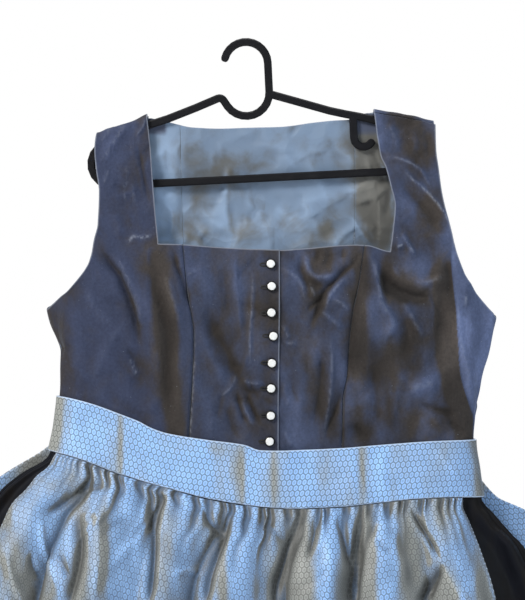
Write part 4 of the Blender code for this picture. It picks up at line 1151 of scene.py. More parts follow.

# Patches of the fronts' velvet that look brown (1) or blue (-1): place, half sizes, share. The blue
# is partly the nap and partly painted light, the cool light on the faces it falls on.
FRONT_PATCHES = [
    (154, 262, 12, 26, 1.0), (160, 305, 11, 40, 1.3), (170, 350, 11, 60, 1.3),
    (177, 420, 8, 40, 1.2), (160, 430, 8, 30, -0.5), (100, 262, 8, 22, 0.5),
    (110, 330, 36, 90, -0.6), (150, 300, 5, 60, -0.4), (186, 290, 5, 60, -0.6),
    (115, 180, 28, 70, -0.3), (205, 300, 14, 40, -0.2), (210, 335, 10, 26, 0.5),
    (212, 400, 18, 50, -0.3), (243, 340, 12, 110, 0.4), (269, 350, 11, 120, 0.3),
    (290, 300, 9, 50, -0.3), (325, 262, 18, 14, 0.7), (312, 290, 10, 22, 0.5),
    (335, 330, 10, 40, -0.3), (310, 370, 20, 60, 0.4), (300, 430, 20, 26, -0.2),
    (358, 340, 9, 110, 0.9), (373, 270, 6, 30, -0.7), (372, 380, 8, 50, -0.2),
    (405, 284, 26, 17, 0.9), (395, 360, 22, 60, 0.6), (446, 330, 12, 70, 0.7),
    (474, 350, 12, 60, -0.8), (388, 140, 12, 20, -0.4), (418, 150, 16, 34, 0.8),
    (410, 176, 22, 12, -0.5), (430, 212, 18, 24, 0.7), (395, 215, 12, 30, -0.2),
    (446, 245, 8, 20, -0.5), (420, 262, 16, 14, -0.6), (425, 425, 26, 18, 0.7),
]

LINING_CREASES = [
    ([(182, 124), (181, 150), (179, 190), (179, 238)], 3, -0.9),
    ([(184, 127), (184, 156)], 3, 0.9),
    ([(190, 127), (190, 155)], 3, 0.9),
    ([(195, 127), (194, 150)], 3, 0.7),
    ([(208, 136), (214, 149), (220, 161)], 3, -1.3, 0.7),
    ([(214, 136), (221, 150), (224, 160)], 3, 1.1),
    ([(244, 136), (245, 151)], 3, -1.3, 0.6),
    ([(243, 149), (273, 144), (308, 144), (340, 146)], 4, 1.4, 0.8),
    ([(240, 157), (268, 155), (299, 152)], 4, -1.1),
    ([(282, 153), (290, 160), (298, 170)], 3, 1.3),
    ([(335, 128), (341, 147), (351, 157), (359, 169)], 5, 2.0, 0.6),
    ([(331, 135), (334, 150), (345, 163)], 4, -1.4),
    ([(181, 214), (195, 201)], 3, 1.3, 0.7),
    ([(196, 205), (214, 222), (238, 236)], 6, 1.6, 0.6),
    ([(220, 190), (232, 214), (236, 236)], 6, -1.4),
    ([(242, 196), (258, 212), (272, 236)], 6, 1.6, 0.6),
    ([(284, 190), (272, 206), (262, 230)], 6, -1.4),
    ([(296, 196), (312, 214), (320, 238)], 6, 1.6, 0.6),
    ([(328, 214), (326, 228), (324, 241)], 5, -1.5),
    ([(349, 207), (357, 224), (369, 239), (381, 248)], 4, 2.0, 0.6),
    ([(364, 150), (370, 167), (374, 192), (386, 218)], 5, 2.0, 0.6),
    ([(391, 190), (389, 204), (385, 216)], 4, -1.5),
    ([(207, 196), (232, 190), (252, 200)], 5, 1.0),
    ([(300, 204), (330, 196), (352, 204)], 5, 1.0),
    ([(155, 130), (166, 150), (168, 176)], 4, -1.4, 0.6),
    ([(160, 200), (172, 214), (170, 240)], 4, 1.4, 0.6),
    ([(150, 190), (160, 196), (176, 192)], 4, 1.2, 0.6),
    ([(372, 150), (381, 168), (384, 186)], 3, -1.8, 0.6),
    ([(368, 196), (372, 216), (382, 234)], 3, -2.0, 0.6),
]
# Grey patches of the lining (1) and bluer ones (-1): place, half sizes, share. Those in the strip at
# its right are painted shade.
LINING_PATCHES = [
    (222, 168, 16, 14, 0.7), (198, 200, 12, 36, 0.5), (258, 164, 20, 12, 0.5),
    (244, 222, 16, 14, 0.5), (292, 226, 18, 12, 0.5), (328, 226, 8, 16, 0.9),
    (340, 150, 12, 20, 0.5), (372, 186, 16, 50, 1.8), (383, 228, 10, 30, 0.9),
    (362, 140, 10, 16, 0.8), (270, 200, 18, 16, -0.5),
    (312, 180, 24, 16, -0.5), (356, 228, 10, 14, -0.7), (230, 140, 40, 8, -0.3),
]
# Painted light on the lining: the strap's shadow at its left lifted, and a broad part lower down, as
# rows like those of the patches.
LINING_PAINTED_LIGHT = [(165, 190, 12, 62, 1.0), (275, 218, 80, 24, 0.22)]

BACK_CREASES = [
    ([(140, 130), (150, 160), (152, 210), (160, 260)], 8, 1.4),
    ([(115, 150), (122, 190), (118, 230)], 8, -1.0),
    ([(90, 250), (120, 268), (150, 300), (164, 350)], 8, 2.2, 0.7, 0.2),
    ([(84, 262), (104, 284), (126, 330), (132, 390)], 8, -2.0),
    ([(70, 330), (110, 345), (150, 340)], 7, 1.6, 0.7, 0.2),
    ([(66, 360), (96, 372), (150, 366)], 6, -1.4),
    ([(220, 180), (228, 250), (222, 330), (230, 400)], 10, 1.6),
    ([(262, 150), (258, 230), (268, 300), (262, 390)], 10, -1.4),
    ([(300, 190), (306, 260), (298, 330), (306, 410)], 10, 1.8),
    ([(200, 380), (240, 388), (290, 384), (330, 376)], 6, 1.6, 0.7, 0.2),
    ([(196, 402), (250, 410), (300, 404)], 6, -1.4),
    ([(366, 250), (376, 300), (366, 350), (372, 410)], 8, 1.8),
    ([(470, 270), (430, 288), (400, 318), (388, 370)], 8, 2.2, 0.7, 0.2),
    ([(476, 284), (446, 306), (424, 350), (418, 400)], 8, -2.0),
    ([(480, 340), (440, 356), (400, 350)], 7, 1.6, 0.7, 0.2),
    ([(406, 140), (400, 180), (408, 230)], 8, 1.0),
    ([(440, 390), (420, 410), (390, 424)], 6, 1.5, 0.7),
]
BACK_PATCHES = [
    (120, 200, 30, 60, -0.5), (140, 320, 26, 60, 0.6), (90, 340, 22, 60, -0.5),
    (230, 260, 26, 90, -0.4), (270, 340, 30, 70, 0.6), (320, 240, 24, 70, 0.3),
    (390, 300, 22, 70, 0.6), (440, 330, 30, 60, -0.5), (410, 180, 26, 60, 0.4),
]

BAND_CREASES = [
    ([(122, 414), (121, 440), (122, 468)], 3, -0.8),
    ([(241, 440), (240, 470), (240, 500)], 3.5, -0.8, 0.7),
    ([(274, 447), (273, 475), (274, 503)], 3, -0.7),
    ([(304, 448), (304, 467)], 3, -1.0, 0.7),
    ([(361, 443), (360, 470), (362, 500)], 3, -0.8),
    ([(380, 442), (380, 470), (382, 498)], 5, 0.9, 1),
    ([(431, 443), (446, 461), (460, 479)], 3.5, 0.8, 0.7),
    ([(76, 400), (74, 425), (76, 452)], 5, 0.8),
    ([(244, 443), (258, 449), (276, 447)], 4, -1.3, 0.7),
]
# Patches of the band that are beige (1) or blue (-1); the narrow ones along its creases are painted
# light.
BAND_PATCHES = [
    (208, 446, 26, 8, 0.5), (236, 462, 7, 16, 0.4), (287, 452, 3, 9, 0.6),
    (56, 420, 5, 30, 0.9), (122, 440, 3, 40, 1.0), (150, 440, 12, 30, -0.2),
    (234, 470, 14, 40, 0.4), (242, 470, 3, 40, 0.8), (252, 470, 6, 40, -0.9),
    (274, 475, 4, 40, 0.8), (300, 480, 16, 40, -0.3), (335, 475, 14, 34, 0.2),
    (361, 470, 3, 40, 1.0), (380, 470, 7, 40, -1.0), (415, 470, 22, 34, -0.1),
    (470, 460, 12, 30, -0.6), (96, 430, 16, 30, -0.4), (190, 460, 24, 34, -0.5),
]

APRON_CREASES = [
    # valleys that run down from the band
    ([(80, 500), (84, 520), (86, 545), (80, 575), (72, 610)], 8, -7.0, 0.7),
    ([(149, 484), (156, 512), (156, 550), (149, 610)], 6.5, -8.0, 0.6),
    ([(167, 488), (160, 508), (156, 525)], 4.5, -6.0, 0.7),
    ([(205, 492), (211, 513), (225, 532)], 5, -6.0, 0.6),
    ([(233, 498), (225, 530), (212, 565), (203, 610)], 8, -8.0, 0.45),
    ([(303, 502), (292, 535), (280, 574), (274, 610)], 6, -7.0, 0.6),
    ([(319, 500), (313, 530), (305, 556)], 4.5, -5.0, 0.6),
    ([(337, 502), (343, 530), (353, 565)], 5, -7.0, 0.7),
    ([(362, 500), (358, 540), (354, 575), (352, 612)], 8, -8.0, 0.5),
    ([(406, 500), (420, 524), (437, 556)], 4.5, -6.0, 0.5),
    ([(439, 554), (430, 575), (417, 602)], 7, -8.0, 0.6),
    # the left side's pulls
    ([(116, 483), (98, 484), (80, 491), (64, 503), (45, 511)], 6, -5.0, 0.7),
    ([(36, 545), (40, 562), (51, 574)], 3.5, -3.5, 0.6),
    ([(61, 546), (68, 557), (76, 571)], 4, -4.0, 0.6),
    ([(44, 508), (49, 542), (55, 558), (63, 586)], 5, 3.5, 0.7),
    ([(12, 542), (18, 567), (34, 602)], 5, 3.5, 0.7),
    ([(93, 509), (103, 512), (98, 524)], 4, 3.0),
    # ridges and dents between the valleys
    ([(112, 490), (103, 520), (102, 560), (96, 605)], 6, 3.0, 1.4),
    ([(374, 532), (380, 541), (390, 546)], 3, -3.0, 0.6),
    ([(405, 500), (420, 530), (436, 556)], 5, 3.0, 0.5),
    ([(432, 552), (448, 576), (466, 602)], 6, 2.5),
    ([(100, 535), (118, 520), (140, 512)], 7, -2.0),
    ([(112, 566), (128, 545), (150, 530)], 7, 1.8),
    ([(171, 566), (190, 562), (206, 568)], 5, 2.4, 0.6),
    ([(258, 520), (262, 560), (256, 605)], 9, -2.2),
    ([(322, 520), (328, 560), (322, 605)], 8, 2.0),
    ([(392, 515), (404, 550), (414, 590)], 8, -2.2),
]
# Patches of the apron that are beige (1) or blue (-1), set along its folds' faces: painted light, as
# rows like those of the fronts.
APRON_PATCHES = [
    (20, 570, 20, 40, 0.5), (84, 560, 12, 60, 0.9), (108, 550, 7, 60, 0.8),
    (128, 560, 16, 60, -0.9), (60, 530, 20, 30, -0.8), (168, 540, 10, 60, 0.5),
    (190, 580, 10, 26, -0.7), (224, 570, 6, 60, 0.9), (244, 560, 14, 60, -1.0),
    (272, 560, 16, 60, 0.4), (302, 560, 10, 60, 1.0), (328, 550, 10, 60, -0.5),
    (366, 560, 10, 60, 1.0), (384, 555, 12, 40, -0.9), (408, 560, 16, 60, 1.1),
    (440, 510, 12, 30, 0.6), (440, 590, 14, 30, 0.9), (464, 540, 8, 60, -0.4),
    (392, 500, 18, 20, 0.3), (476, 590, 10, 30, 0.4),
]


def patches_at(x, z, patches):
    """How brown the patches make each place on the cloth."""
    total = np.zeros_like(x)
    for px, py, half_x, half_z, share in patches:
        (middle_x, middle_z), = drawn((px, py))
        across, up = (x - middle_x) / (half_x * DRAWING), (z - middle_z) / (half_z * DRAWING)
        total = total + share * np.exp(-(across**2) - up**2)
    return total


def on_drawing(rows):
    """The creases of a table: each row is a line on the drawing, then what Crease measures."""
    return [Crease(drawn(*line), *measures) for line, *measures in rows]


def scattered(seed, count, box, width, height, length, power=1.1, sides=(0.5, 0.8, 1.6)):
    """Small random creases over a (left, right, bottom, top) part of the cloth."""
    random = np.random.default_rng(seed)
    left, right, bottom, top = box
    made = []
    for _ in range(count):
        x, z = random.uniform(left, right), random.uniform(bottom, top)
        angle = random.normal(math.pi / 2, 0.75)
        half = length * random.uniform(0.35, 1.0) / 2
        run = np.array([math.cos(angle), -math.sin(angle)]) * half
        bow = np.array([run[1], -run[0]]) * random.uniform(-0.25, 0.25)
        middle = np.array([x, z])
        line = (tuple(middle - run), tuple(middle + bow), tuple(middle + run))
        rise = height * random.uniform(0.35, 1.0) * random.choice([-1, 1])
        own_width = width * random.uniform(0.5, 1.0)
        made.append(Crease(line, own_width, rise, random.choice(sides), power=power))
    return made


def undulation(x, z, seed, height=0.7):
    """The soft unevenness of worn cloth."""
    return height * (0.7 * waves(x, z, 60, seed) + 0.4 * waves(x, z * 0.6, 26, seed + 1))


def grid_area(points, cells):
    """The area of a grid's cells, in square metres."""
    across = points[1:, 1:] - points[:-1, :-1]
    other = points[1:, :-1] - points[:-1, 1:]
    areas = np.linalg.norm(np.cross(across, other), axis=-1) / 2
    return float(areas[cells].sum()) * METRE**2


def flat_size(points, cells):
    """A piece's cut size: its widest row, its longest column and its area."""
    wide = np.linalg.norm(np.diff(points, axis=1), axis=-1)[:-1] * cells
    long = np.linalg.norm(np.diff(points, axis=0), axis=-1)[:, :-1] * cells
    width, length = wide.sum(1).max() * METRE, long.sum(0).max() * METRE
    return (float(width), float(length)), grid_area(points, cells)


# ---------------------------------------------------------------- materials

NAVY_PILE = (0.052, 0.066, 0.118, 1)
DEEP_PILE = (0.043, 0.054, 0.101, 1)
BROWN_PILE = (0.052, 0.044, 0.040, 1)
# The pale of worn pile, also used for painted highlights on the creases' ridges and the free edges.
RUBBED_AND_HIGHLIT_PILE = (0.33, 0.36, 0.43, 1)
TURNED_PILE = (0.07, 0.085, 0.135, 1)  # the velvet turned over at the tops of the straps
LINING_BLUE = (0.225, 0.31, 0.44, 1)
# The lining's grey stands for its colour in shade.
LINING_GREY = (0.150, 0.150, 0.140, 1)
SATIN_BLUE = (0.008, 0.009, 0.013, 1)
SATIN_BROWN = (0.011, 0.010, 0.010, 1)
APRON_BLUE = (0.33, 0.55, 0.92, 1)
APRON_BEIGE = (0.33, 0.345, 0.33, 1)
APRON_SLATE = (0.085, 0.12, 0.19, 1)
APRON_SHADE = (0.10, 0.105, 0.10, 1)
# The colour of the painted highlight along the cloth's edges.
APRON_EDGE_HIGHLIGHT = (0.55, 0.67, 0.86, 1)
BLACK_PLASTIC = (0.005, 0.005, 0.007, 1)
WORN_PLASTIC = (0.010, 0.010, 0.012, 1)
CELL_WIDTH, CELL_ROW = 0.0062, 0.0066  # the apron's honeycomb, in metres of its cut
CELL_PAIR = 1.732  # two rows of hexagons, when one hexagon is 1 wide


def velvet_material():
    paint = Paint("velvet")
    place = paint.place()
    x, z = paint.part(place, "X"), paint.part(place, "Z")
    streaks = paint.noise(paint.stretch(place, 36, 36, 13, 0.15), 1.0, 4, 0.5, 0.6)
    mottle = paint.noise(place, 48, 4, 0.6, 0.5)
    fold = paint.painted("fold")

    # The nap lies unevenly on the right half and on the straps.
    share = paint.times(paint.fade(z, -0.26, -0.19), 0.5)
    share = paint.math("MAXIMUM", paint.fade(x, -0.14, 0.12), share)
    nap = paint.noise(paint.stretch(place, 26, 26, 15, 0.3), 1.0, 3, 0.45, 0.1)
    nap = paint.times(paint.math("SUBTRACT", nap, 0.5), share)

    # Brown against navy: patches and noise, and painted light: surfaces facing left and the creases'
    # hollows are browner.
    brown = paint.sum(
        paint.painted("brown"), (streaks, 1.4), (mottle, 1.2), (paint.leaning("X"), -0.5),
        (fold, -0.09), (nap, -2.0),
    )
    # A darker navy on the dress's left part.
    navy = paint.colour_blend(paint.fade(x, -0.12, -0.04), DEEP_PILE, NAVY_PILE)
    colour = paint.colour_blend(paint.fade(brown, 0.82, 2.15), navy, BROWN_PILE)
    # Painted shade and highlight: darker in the creases' hollows, lighter on their ridges.
    colour = paint.toned(colour, fold, -4.0, 4.0, 0.66, 1.22)
    colour = paint.toned(colour, paint.noise(place, 300, 3, 0.6), 0.3, 0.7, 0.86, 1.14)
    colour = paint.toned(colour, nap, -0.16, 0.0, 0.68, 1.0)
    colour = paint.toned(colour, nap, 0.02, 0.16, 1.0, 1.5)
    # A painted highlight on the right side, past the nap's line.
    colour = paint.toned(colour, paint.painted("pale"), 0.0, 1.4, 1.0, 2.15)
    # Darker towards the waist, in mottled patches.
    colour = paint.toned(colour, paint.sum(paint.fade(z, -0.46, -0.1), (mottle, 2.0)),
                         0.5, 2.3, 0.8, 1.02)

    # Pale marks: worn pile with a painted highlight along the creases' ridges, random flecks, and a
    # painted highlight along the free edges.
    scuffs = paint.noise(paint.stretch(place, 1, 1, 0.6, 0.3), 240, 3, 0.65)
    rubbed_and_highlit = paint.times(paint.painted("rub_and_highlight"), paint.fade(scuffs, 0.36, 0.66))
    flecks = paint.times(paint.fade(paint.noise(place, 420, 2, 0.5), 0.74, 0.8), 0.4)
    # A painted highlight along the free edges.
    edge = paint.times(paint.fade(paint.painted("edge"), 2.0, 0.8), 0.46)
    pale = paint.math("MAXIMUM", paint.math("MAXIMUM", rubbed_and_highlit, flecks), edge)
    paint.set(
        Base_Color=paint.colour_blend(pale, colour, RUBBED_AND_HIGHLIT_PILE), Roughness=0.85,
        Sheen_Weight=0.16, Sheen_Roughness=0.35, Sheen_Tint=(0.75, 0.85, 1.0, 1),
        Specular_IOR_Level=0.2,
    )
    crushed = paint.noise(paint.stretch(place, 1, 1, 0.55, 0.2), 75, 3, 0.55, 0.8)
    paint.bump((crushed, 0.0016), (paint.noise(place, 1300, 2, 0.6), 0.0003))
    return paint.material


def lining_material():
    paint = Paint("lining")
    place = paint.place()
    drift = paint.node("ShaderNodeTexNoise", {"Vector": place, "Scale": 14.0}).outputs[1]
    bent = paint.vector("ADD", place, paint.scaled(drift, 0.05))
    mottle = paint.noise(place, 24, 4, 0.6, 0.4)
    # Grey against blue: patches and noise, and painted shade: surfaces facing right are greyer.
    brown = paint.sum(paint.painted("brown"), (mottle, 2.2), (paint.leaning("X"), 0.8))
    colour = paint.colour_blend(paint.fade(brown, 0.9, 2.0), LINING_BLUE, LINING_GREY)
    # Painted shade and highlight: lighter where the creases stand forwards, darker where the lining
    # lies back against the velvet.
    colour = paint.toned(colour, paint.painted("fold"), 0.3, -4.4, 0.72, 1.14)
    # Painted light that lifts the shadow beside the strap and the shade low down.
    colour = paint.toned(colour, paint.painted("pale"), 0.0, 1.0, 1.0, 1.5)
    colour = paint.colour_blend(paint.painted("turned"), colour, TURNED_PILE)
    paint.set(
        Base_Color=colour, Roughness=0.5, Sheen_Weight=0.25, Sheen_Roughness=0.5,
        Specular_IOR_Level=0.3,
    )
    paint.bump(
        (paint.facets(bent, 15.0), 0.006), (paint.facets(bent, 44.0), 0.0018),
        (paint.noise(place, 1500, 2, 0.6), 0.0001),
    )
    return paint.material


def satin_material():
    paint = Paint("skirt satin")
    place = paint.place()
    drift = paint.noise(paint.stretch(place, 40, 40, 7), 1.0, 3, 0.5, 0.4)
    crush = paint.noise(paint.stretch(place, 1, 1, 0.4, 0.25), 38, 4, 0.55, 0.6)
    # Painted light: surfaces facing right are browner; the drift is tone that differs at random.
    side = paint.sum(drift, (paint.leaning("X"), 0.3))
    paint.set(
        Base_Color=paint.colour_blend(paint.fade(side, 0.35, 0.75), SATIN_BLUE, SATIN_BROWN),
        Roughness=paint.sum(0.42, (drift, 0.2)), Specular_IOR_Level=0.06, Anisotropic=0.3,
    )
    weave = paint.noise(paint.stretch(place, 1, 1, 0.3), 1600, 2, 0.6)
    paint.bump((crush, 0.002), (weave, 0.0001))
    return paint.material


def honeycomb(paint):
    """How near each place is to its cell's outline (0.5 on it), and its place in the cell."""
    cells = []
    scaled = paint.vector("MULTIPLY", paint.cut(), (1 / CELL_WIDTH, 0.5 / CELL_ROW, 0.0))
    for shift in (0.0, 0.5):
        part = paint.vector("FRACTION", paint.vector("SUBTRACT", scaled, (shift, shift, 0)))
        part = paint.vector("SUBTRACT", part, (0.5, 0.5, 0))
        cells.append(paint.vector("MULTIPLY", part, (1.0, CELL_PAIR, 0.0)))
    first, second = (paint.vector("LENGTH", cell) for cell in cells)
    spot = paint.node("ShaderNodeMix", data_type="VECTOR")
    paint.feed(spot.inputs[0], paint.math("LESS_THAN", second, first))
    paint.feed(spot.inputs[4], cells[0])
    paint.feed(spot.inputs[5], cells[1])
    spot = paint.vector("ABSOLUTE", spot.outputs[1])
    slant = paint.vector("DOT_PRODUCT", spot, (0.5, CELL_PAIR / 2, 0.0))
    return paint.math("MAXIMUM", paint.part(spot, "X"), slant), spot


def apron_material(name, tone):
    paint = Paint(name)
    place = paint.place()
    outline, spot = honeycomb(paint)
    drift = paint.noise(paint.stretch(place, 34, 34, 8, 0.1), 1.0, 3, 0.5, 0.4)
    mottle = paint.noise(place, 60, 3, 0.5)
    lean = paint.leaning("X")
    # Painted light: slopes turned to either side are beige.
    tilt = paint.fade(paint.math("ABSOLUTE", lean), 0.25, 0.6)
    brown = paint.sum(paint.painted("brown"), (drift, 1.3), (tilt, 0.7))
    share = paint.fade(brown, 0.45, 1.35)
    ground = paint.colour_blend(share, APRON_BLUE, APRON_BEIGE)
    # Scaled by tone: the apron's copy is darker than the band's, painted shade.
    ground = paint.scaled(ground, paint.sum(0.82 * tone, (mottle, 0.36 * tone)))
    # Painted shade and highlight: darker in the valleys and the gathers' pits, lighter on the
    # ridges.
    ground = paint.toned(ground, paint.painted("fold"), -5.2, 2.6, 0.3, 1.2)
    # Painted shade on slopes that face right.
    ground = paint.toned(ground, lean, 0.6, 0.05, 0.5, 1.04)
    dark = paint.colour_blend(share, APRON_SLATE, APRON_SHADE)

    # Each cell has a paler ring and a darker centre inside its dark outline.
    oval_spot = paint.vector("LENGTH", paint.vector("MULTIPLY", spot, (1.0, 0.82, 0.0)))
    ring = paint.times(paint.math("COMPARE", oval_spot, 0.27, 0.055), 0.75)
    centre = paint.times(paint.fade(oval_spot, 0.2, 0.12), 0.35)
    line = paint.times(paint.fade(outline, 0.40, 0.465), 0.78)
    colour = paint.colour_blend(ring, ground, paint.scaled(ground, 1.38))
    colour = paint.colour_blend(centre, colour, paint.scaled(ground, 0.7))
    colour = paint.colour_blend(line, colour, dark)
    # Stitches, and the painted shadow under the band.
    colour = paint.colour_blend(paint.times(paint.painted("stitch_and_shadow"), 0.55), colour, dark)
    # A painted highlight along the cloth's edges.
    edge = paint.times(paint.fade(paint.painted("edge"), 1.9, 0.8), 0.7)
    colour = paint.colour_blend(edge, colour, APRON_EDGE_HIGHLIGHT)
    paint.set(Base_Color=colour, Roughness=0.46, Sheen_Weight=0.2, Specular_IOR_Level=0.4)
    crush = paint.noise(paint.stretch(place, 1, 1, 0.6, 0.2), 55, 3, 0.5, 0.6)
    weave = paint.noise(paint.cut(), 2600, 2, 0.6)
    paint.bump((crush, 0.0012), (paint.math("SUBTRACT", 1.0, line), 0.0001), (weave, 0.00008))
    return paint.material


def plastic_material():
    paint = Paint("hanger plastic")
    place = paint.place()
    scuffs = paint.noise(paint.stretch(place, 1, 1, 4, 0.6), 60, 4, 0.7)
    paint.set(
        Base_Color=paint.colour_blend(paint.fade(scuffs, 0.5, 0.8), BLACK_PLASTIC, WORN_PLASTIC),
        Roughness=paint.sum(0.36, (scuffs, 0.2)), Specular_IOR_Level=0.25,
    )
    paint.bump((paint.noise(place, 900, 3, 0.6), 0.0002))
    return paint.material


def grained_material(name, grain, dark, light, depth, rough, fade=None, **settings):
    """A plain material between two colours: its grain is (scale, detail, roughness)."""
    paint = Paint(name)
    grain = paint.noise(paint.place(), *grain)
    share = paint.fade(grain, *fade) if fade else grain
    rough, uneven = rough
    paint.set(
        Base_Color=paint.colour_blend(share, dark, light),
        Roughness=paint.sum(rough, (grain, uneven)) if uneven else rough, **settings,
    )
    paint.bump((grain, depth))
    return paint.material


LOOKS = {
    "velvet": velvet_material(),
    "lining": lining_material(),
    "satin": satin_material(),
    # The apron is the band's cloth painted darker as shade (tone 0.74 against 0.97).
    "apron": apron_material("apron cloth", 0.74),
    "band": apron_material("waistband cloth", 0.97),
    "metal": grained_material(
        "button metal", (900, 4, 0.6), (0.012, 0.012, 0.012, 1), (0.05, 0.05, 0.05, 1), 0.0002,
        (0.22, 0.25), (0.35, 0.7), Metallic=1.0,
    ),
    "stone": grained_material(
        "button stone", (600, 3, 0.5), (0.74, 0.74, 0.73, 1), (0.96, 0.96, 0.94, 1), 0.0003,
        (0.22, 0), Coat_Weight=0.5, Coat_Roughness=0.15,
    ),
    "thread": grained_material(
        "buttonhole thread", (2400, 2, 0.6), (0.003, 0.003, 0.003, 1),
        (0.009, 0.008, 0.008, 1), 0.0003, (0.75, 0), Sheen_Weight=0.3,
    ),
}


# ---------------------------------------------------------------- the dress's pieces

LAP_START, LAP_EDGE = 17.0, 39.6  # the x of the right front's edge and of the left's over it
LAP_RISE = VELVET + 0.5
CREASE_DEPTH = 2.1  # how much deeper the velvet's creases are than their tables say


def lap_lift(x):
    """How far the lapped front stands off the body's surface."""
    return LAP_RISE * ramp((x - LAP_START + 14) / 13)


class Fabric(NamedTuple):
    """What a piece is sewn from."""

    slot: str
    thickness: float
    looks: tuple  # the outside's, and the inside's when it differs
    held: str = "hung"


FABRICS = {
    "velvet": Fabric("velvet", VELVET, ("velvet", "lining")),
    "lining": Fabric("lining", LINING, ("lining",)),
    "band": Fabric("apron_cloth", BAND_CLOTH, ("band",), "stretched"),
    "apron": Fabric("apron_cloth", APRON_CLOTH, ("apron",), "gathered"),
    "tie": Fabric("apron_cloth", APRON_CLOTH, ("apron",)),
    "skirt_front": Fabric("skirt_satin", SATIN, ("satin",)),
    "skirt_back": Fabric("skirt_satin", SATIN, ("satin",), "gathered"),
}


def sew(name, node, fabric, points, facing, change, paints, cells=None, out=None,
        lift=0.0, uv=None):
    """One sheet of cloth: its creases are added, and it stands for its CAD node."""
    slot, thickness, looks, held = FABRICS[fabric]
    if cells is None:
        cells = np.ones((points.shape[0] - 1, points.shape[1] - 1), bool)
    own_out = out is not None
    grids = [points, cells, out if own_out else points, points if uv is None else uv]
    points, cells, out, cut, *others = outwards(facing, *grids, *paints.values())
    paints = dict(zip(paints, others))
    size, flat_area = flat_size(points, cells)
    if not own_out:
        out = normals_of(points)
    height = change(points) * paints.pop("freedom", 1.0) + paints.pop("raised", 0.0)
    points = points + out * height[..., None]
    # The creases' height, which the materials use to paint shade in hollows and highlight on ridges.
    paints["fold"] = paints.get("fold", 0.0) + height
    outer = points + out * lift
    looks = [LOOKS[look] for look in looks]
    cut = None if uv is None else cut
    piece = cloth(name, outer, outer - out * thickness, looks, cells, cut, paints)
    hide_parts(node)


def sew_velvet(part, facing, points, out, change, paints, cells=None):
    sew(f"velvet_{part}", f"bodice_{part}", "velvet", points, facing, change,
        paints, cells, out)


def dip(x, z, seam, width=2.2, depth=1.0):
    """The hollow along a seam."""
    return -depth * np.exp(-((np.abs(x - seam(z)) / width) ** 2))


def free_edge(points, *lines):
    """The distance of each place from the piece's free edges."""
    return distance_to(points, np.concatenate([line.reshape(-1, 3) for line in lines]))


def side_edge(points, cells, above, free_rows):
    """A side panel's distance from its free edges, on the strap and at the neck and armhole."""
    corner = np.argmax(~cells[:above].any(axis=0))
    armhole = points[: above + free_rows, 0]
    return free_edge(points, armhole, points[:above, corner], points[above, corner:])


def shaped(creases, seed, seams, limit):
    """A function from a bodice piece's points to the height of its creases and seams."""
    drawn_creases = on_drawing(creases)
    drawn_creases += scattered(
        seed, 150, (-250, 300, -500, -90), width=7, height=1.1, length=60
    )

    def change(points):
        x, z = seen(points)
        total = CREASE_DEPTH * relief(x, z, drawn_creases)[0] + undulation(x, z, seed)
        for seam in seams:
            total = total + dip(x, z, seam)
        return np.clip(total, *limit(x, z))

    return change


def crease_limits(free, low_down, inwards, outwards):
    """How far creases may go in and out, each measured at the waist, high up and low down."""
    low, high = (mix(waist, mix(*rest, low_down), free) for waist, *rest in (inwards, outwards))
    return -low, high


def front_limit(x, z):
    free, low_down = ramp((z - BAND_TOP(x) - 2) / 26), ramp((-95 - z) / 60)
    return crease_limits(free, low_down, (0.6, 0.6, 7.0), (0.8, 2.4, 8.0))


def back_limit(x, z):
    free = ramp((z - waist_height(x, back=True) - 26) / 26)
    return crease_limits(free, ramp((-110 - z) / 60), (0.5, 0.5, 1.5), (0.6, 1.0, 4.0))


def velvet_paints(points, creases, patches, edge):
    x, z = seen(points)
    return {
        # Worn pile with a painted highlight along the creases' ridges.
        "rub_and_highlight": np.clip(0.62 * relief(x, z, on_drawing(creases))[1], 0, 1),
        "brown": patches_at(x, z, patches),
        # The distance from the free edges, where a painted highlight goes.
        "edge": edge,
    }


NAP_LINE = smooth_curve(  # the x of the brown nap's edge, over height
    (-226, 246), (-274, 247.5), (-318, 251.5), (-367, 255.5), (-400, 258), (-424, 265), (-449, 275)
)


def nap_at_side(points, brown):
    """At the right side the nap is brown up to a line, and past it the velvet is paler: a painted
    highlight.
    """
    x, z = seen(points)
    past = x - NAP_LINE(z)
    pale = ramp((past + 1) / 3.5) * mix(1.4, 0.9, ramp(past / 26)) * ramp((-226 - z) / 40)
    stripe = ramp((1 - past) / 3) * (1 - ramp((-past - 19) / 10)) * ramp((-244 - z) / 40)
    return {"pale": pale, "brown": brown + 1.1 * stripe - 1.4 * pale}


def build_bodice():
    seams = [LEFT.seam_back, RIGHT.seam_back]
    for side in (LEFT, RIGHT):
        points, out, cells, above = front_side_grid(side)
        edge = side_edge(points, cells, above, FRONT_ARMHOLE_ROWS)
        change = shaped(FRONT_CREASES, 3 + side.sign, [side.seam_front], front_limit)
        paints = velvet_paints(points, FRONT_CREASES, FRONT_PATCHES, edge)
        if side is RIGHT:
            paints.update(nap_at_side(points, paints["brown"]))
        sew_velvet(f"side_front_{side.name}", -1, points, out, change, paints, cells)

        points, out, cells, above = back_side_grid(side)
        edge = side_edge(points, cells, above, BACK_ARMHOLE_ROWS)
        change = shaped(BACK_CREASES, 15, seams, back_limit)
        paints = velvet_paints(points, BACK_CREASES, BACK_PATCHES, edge)
        sew_velvet(f"side_back_{side.name}", 1, points, out, change, paints, cells)
        sew_lining(f"side_back_{side.name}", points, out, cells)

    points, out = back_centre_grid()
    paints = velvet_paints(points, BACK_CREASES, BACK_PATCHES, free_edge(points, points[0]))
    change = shaped(BACK_CREASES, 15, seams, back_limit)
    sew_velvet("centre_back", 1, points, out, change, paints)
    sew_lining("centre_back", points, out, None)
    build_centre_fronts()


